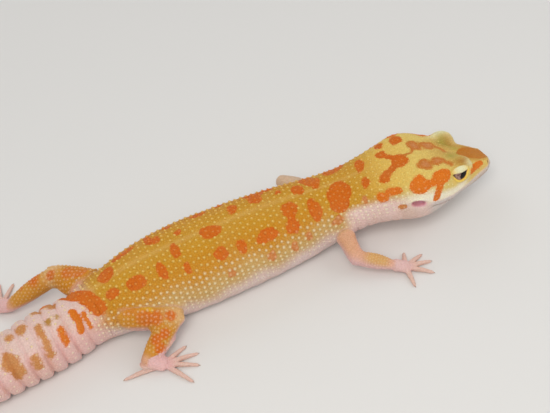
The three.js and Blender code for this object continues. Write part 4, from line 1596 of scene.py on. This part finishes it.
stageLook = {"floor": (0.78, 0.775, 0.76, 1.0), "floorSize": 3.0, "dull": 0.8,
             "sky": (1.0, 0.99, 0.98, 1), "skyLight": 0.45}
bpy.ops.mesh.primitive_plane_add(size=stageLook["floorSize"], location=(0, 0, 0))
floor = bpy.context.object
floor.name = "floor"
floorPaint = newMaterial("floorPaint", {"Base Color": stageLook["floor"], "Roughness": stageLook["dull"]})
floor.data.materials.append(floorPaint[0])

lampLook = {
    "key": {"place": (-0.12, -0.42, 0.62), "size": 0.45, "power": 2.6, "colour": (1.0, 0.97, 0.92)},
    "fill": {"place": (0.55, -0.25, 0.4), "size": 0.6, "power": 1.0, "colour": (0.95, 0.97, 1.0)},
    "back": {"place": (-0.1, 0.6, 0.5), "size": 0.6, "power": 0.8, "colour": (1.0, 1.0, 1.0)},
}
for lampName, look in lampLook.items():
    lampData = bpy.data.lights.new(lampName, "AREA")
    lampData.energy = look["power"]
    lampData.size = look["size"]
    lampData.color = look["colour"]
    lamp = bpy.data.objects.new(lampName, lampData)
    lamp.location = look["place"]
    lamp.rotation_euler = (Vector((0, 0, 0)) - Vector(look["place"])).to_track_quat("-Z", "Y").to_euler()
    bpy.context.scene.collection.objects.link(lamp)

world = bpy.data.worlds.new("studio")
world.use_nodes = True
world.node_tree.nodes["Background"].inputs["Color"].default_value = stageLook["sky"]
world.node_tree.nodes["Background"].inputs["Strength"].default_value = stageLook["skyLight"]
bpy.context.scene.world = world
bpy.context.scene.view_settings.view_transform = "Standard"

cameraLook = {"height": 42.0, "roll": 15.0, "heading": 11.28, "distance": 316.3, "width": 32.0,
              "aim": (40.84, 19.7, 0.0)}


def placeCamera():
    heading, height, roll = (math.radians(cameraLook[key]) for key in ("heading", "height", "roll"))
    level = Vector((math.sin(heading), math.cos(heading), 0))
    forward = level * math.cos(height) - Vector((0, 0, 1)) * math.sin(height)
    right = Vector((math.cos(heading), -math.sin(heading), 0))
    up = right.cross(forward)
    turnedRight = right * math.cos(roll) - up * math.sin(roll)
    turnedUp = up * math.cos(roll) + right * math.sin(roll)
    cameraData = bpy.data.cameras.new("camera")
    cameraData.sensor_width = 36
    cameraData.lens = 18 / math.tan(math.radians(cameraLook["width"] / 2))
    cameraData.clip_start = 0.01
    camera = bpy.data.objects.new("camera", cameraData)
    place = (Vector(cameraLook["aim"]) - forward * cameraLook["distance"]) * mm
    turn = Matrix((turnedRight, turnedUp, -forward)).transposed()
    camera.matrix_world = Matrix.Translation(place) @ turn.to_4x4()
    bpy.context.scene.collection.objects.link(camera)
    bpy.context.scene.camera = camera


placeCamera()
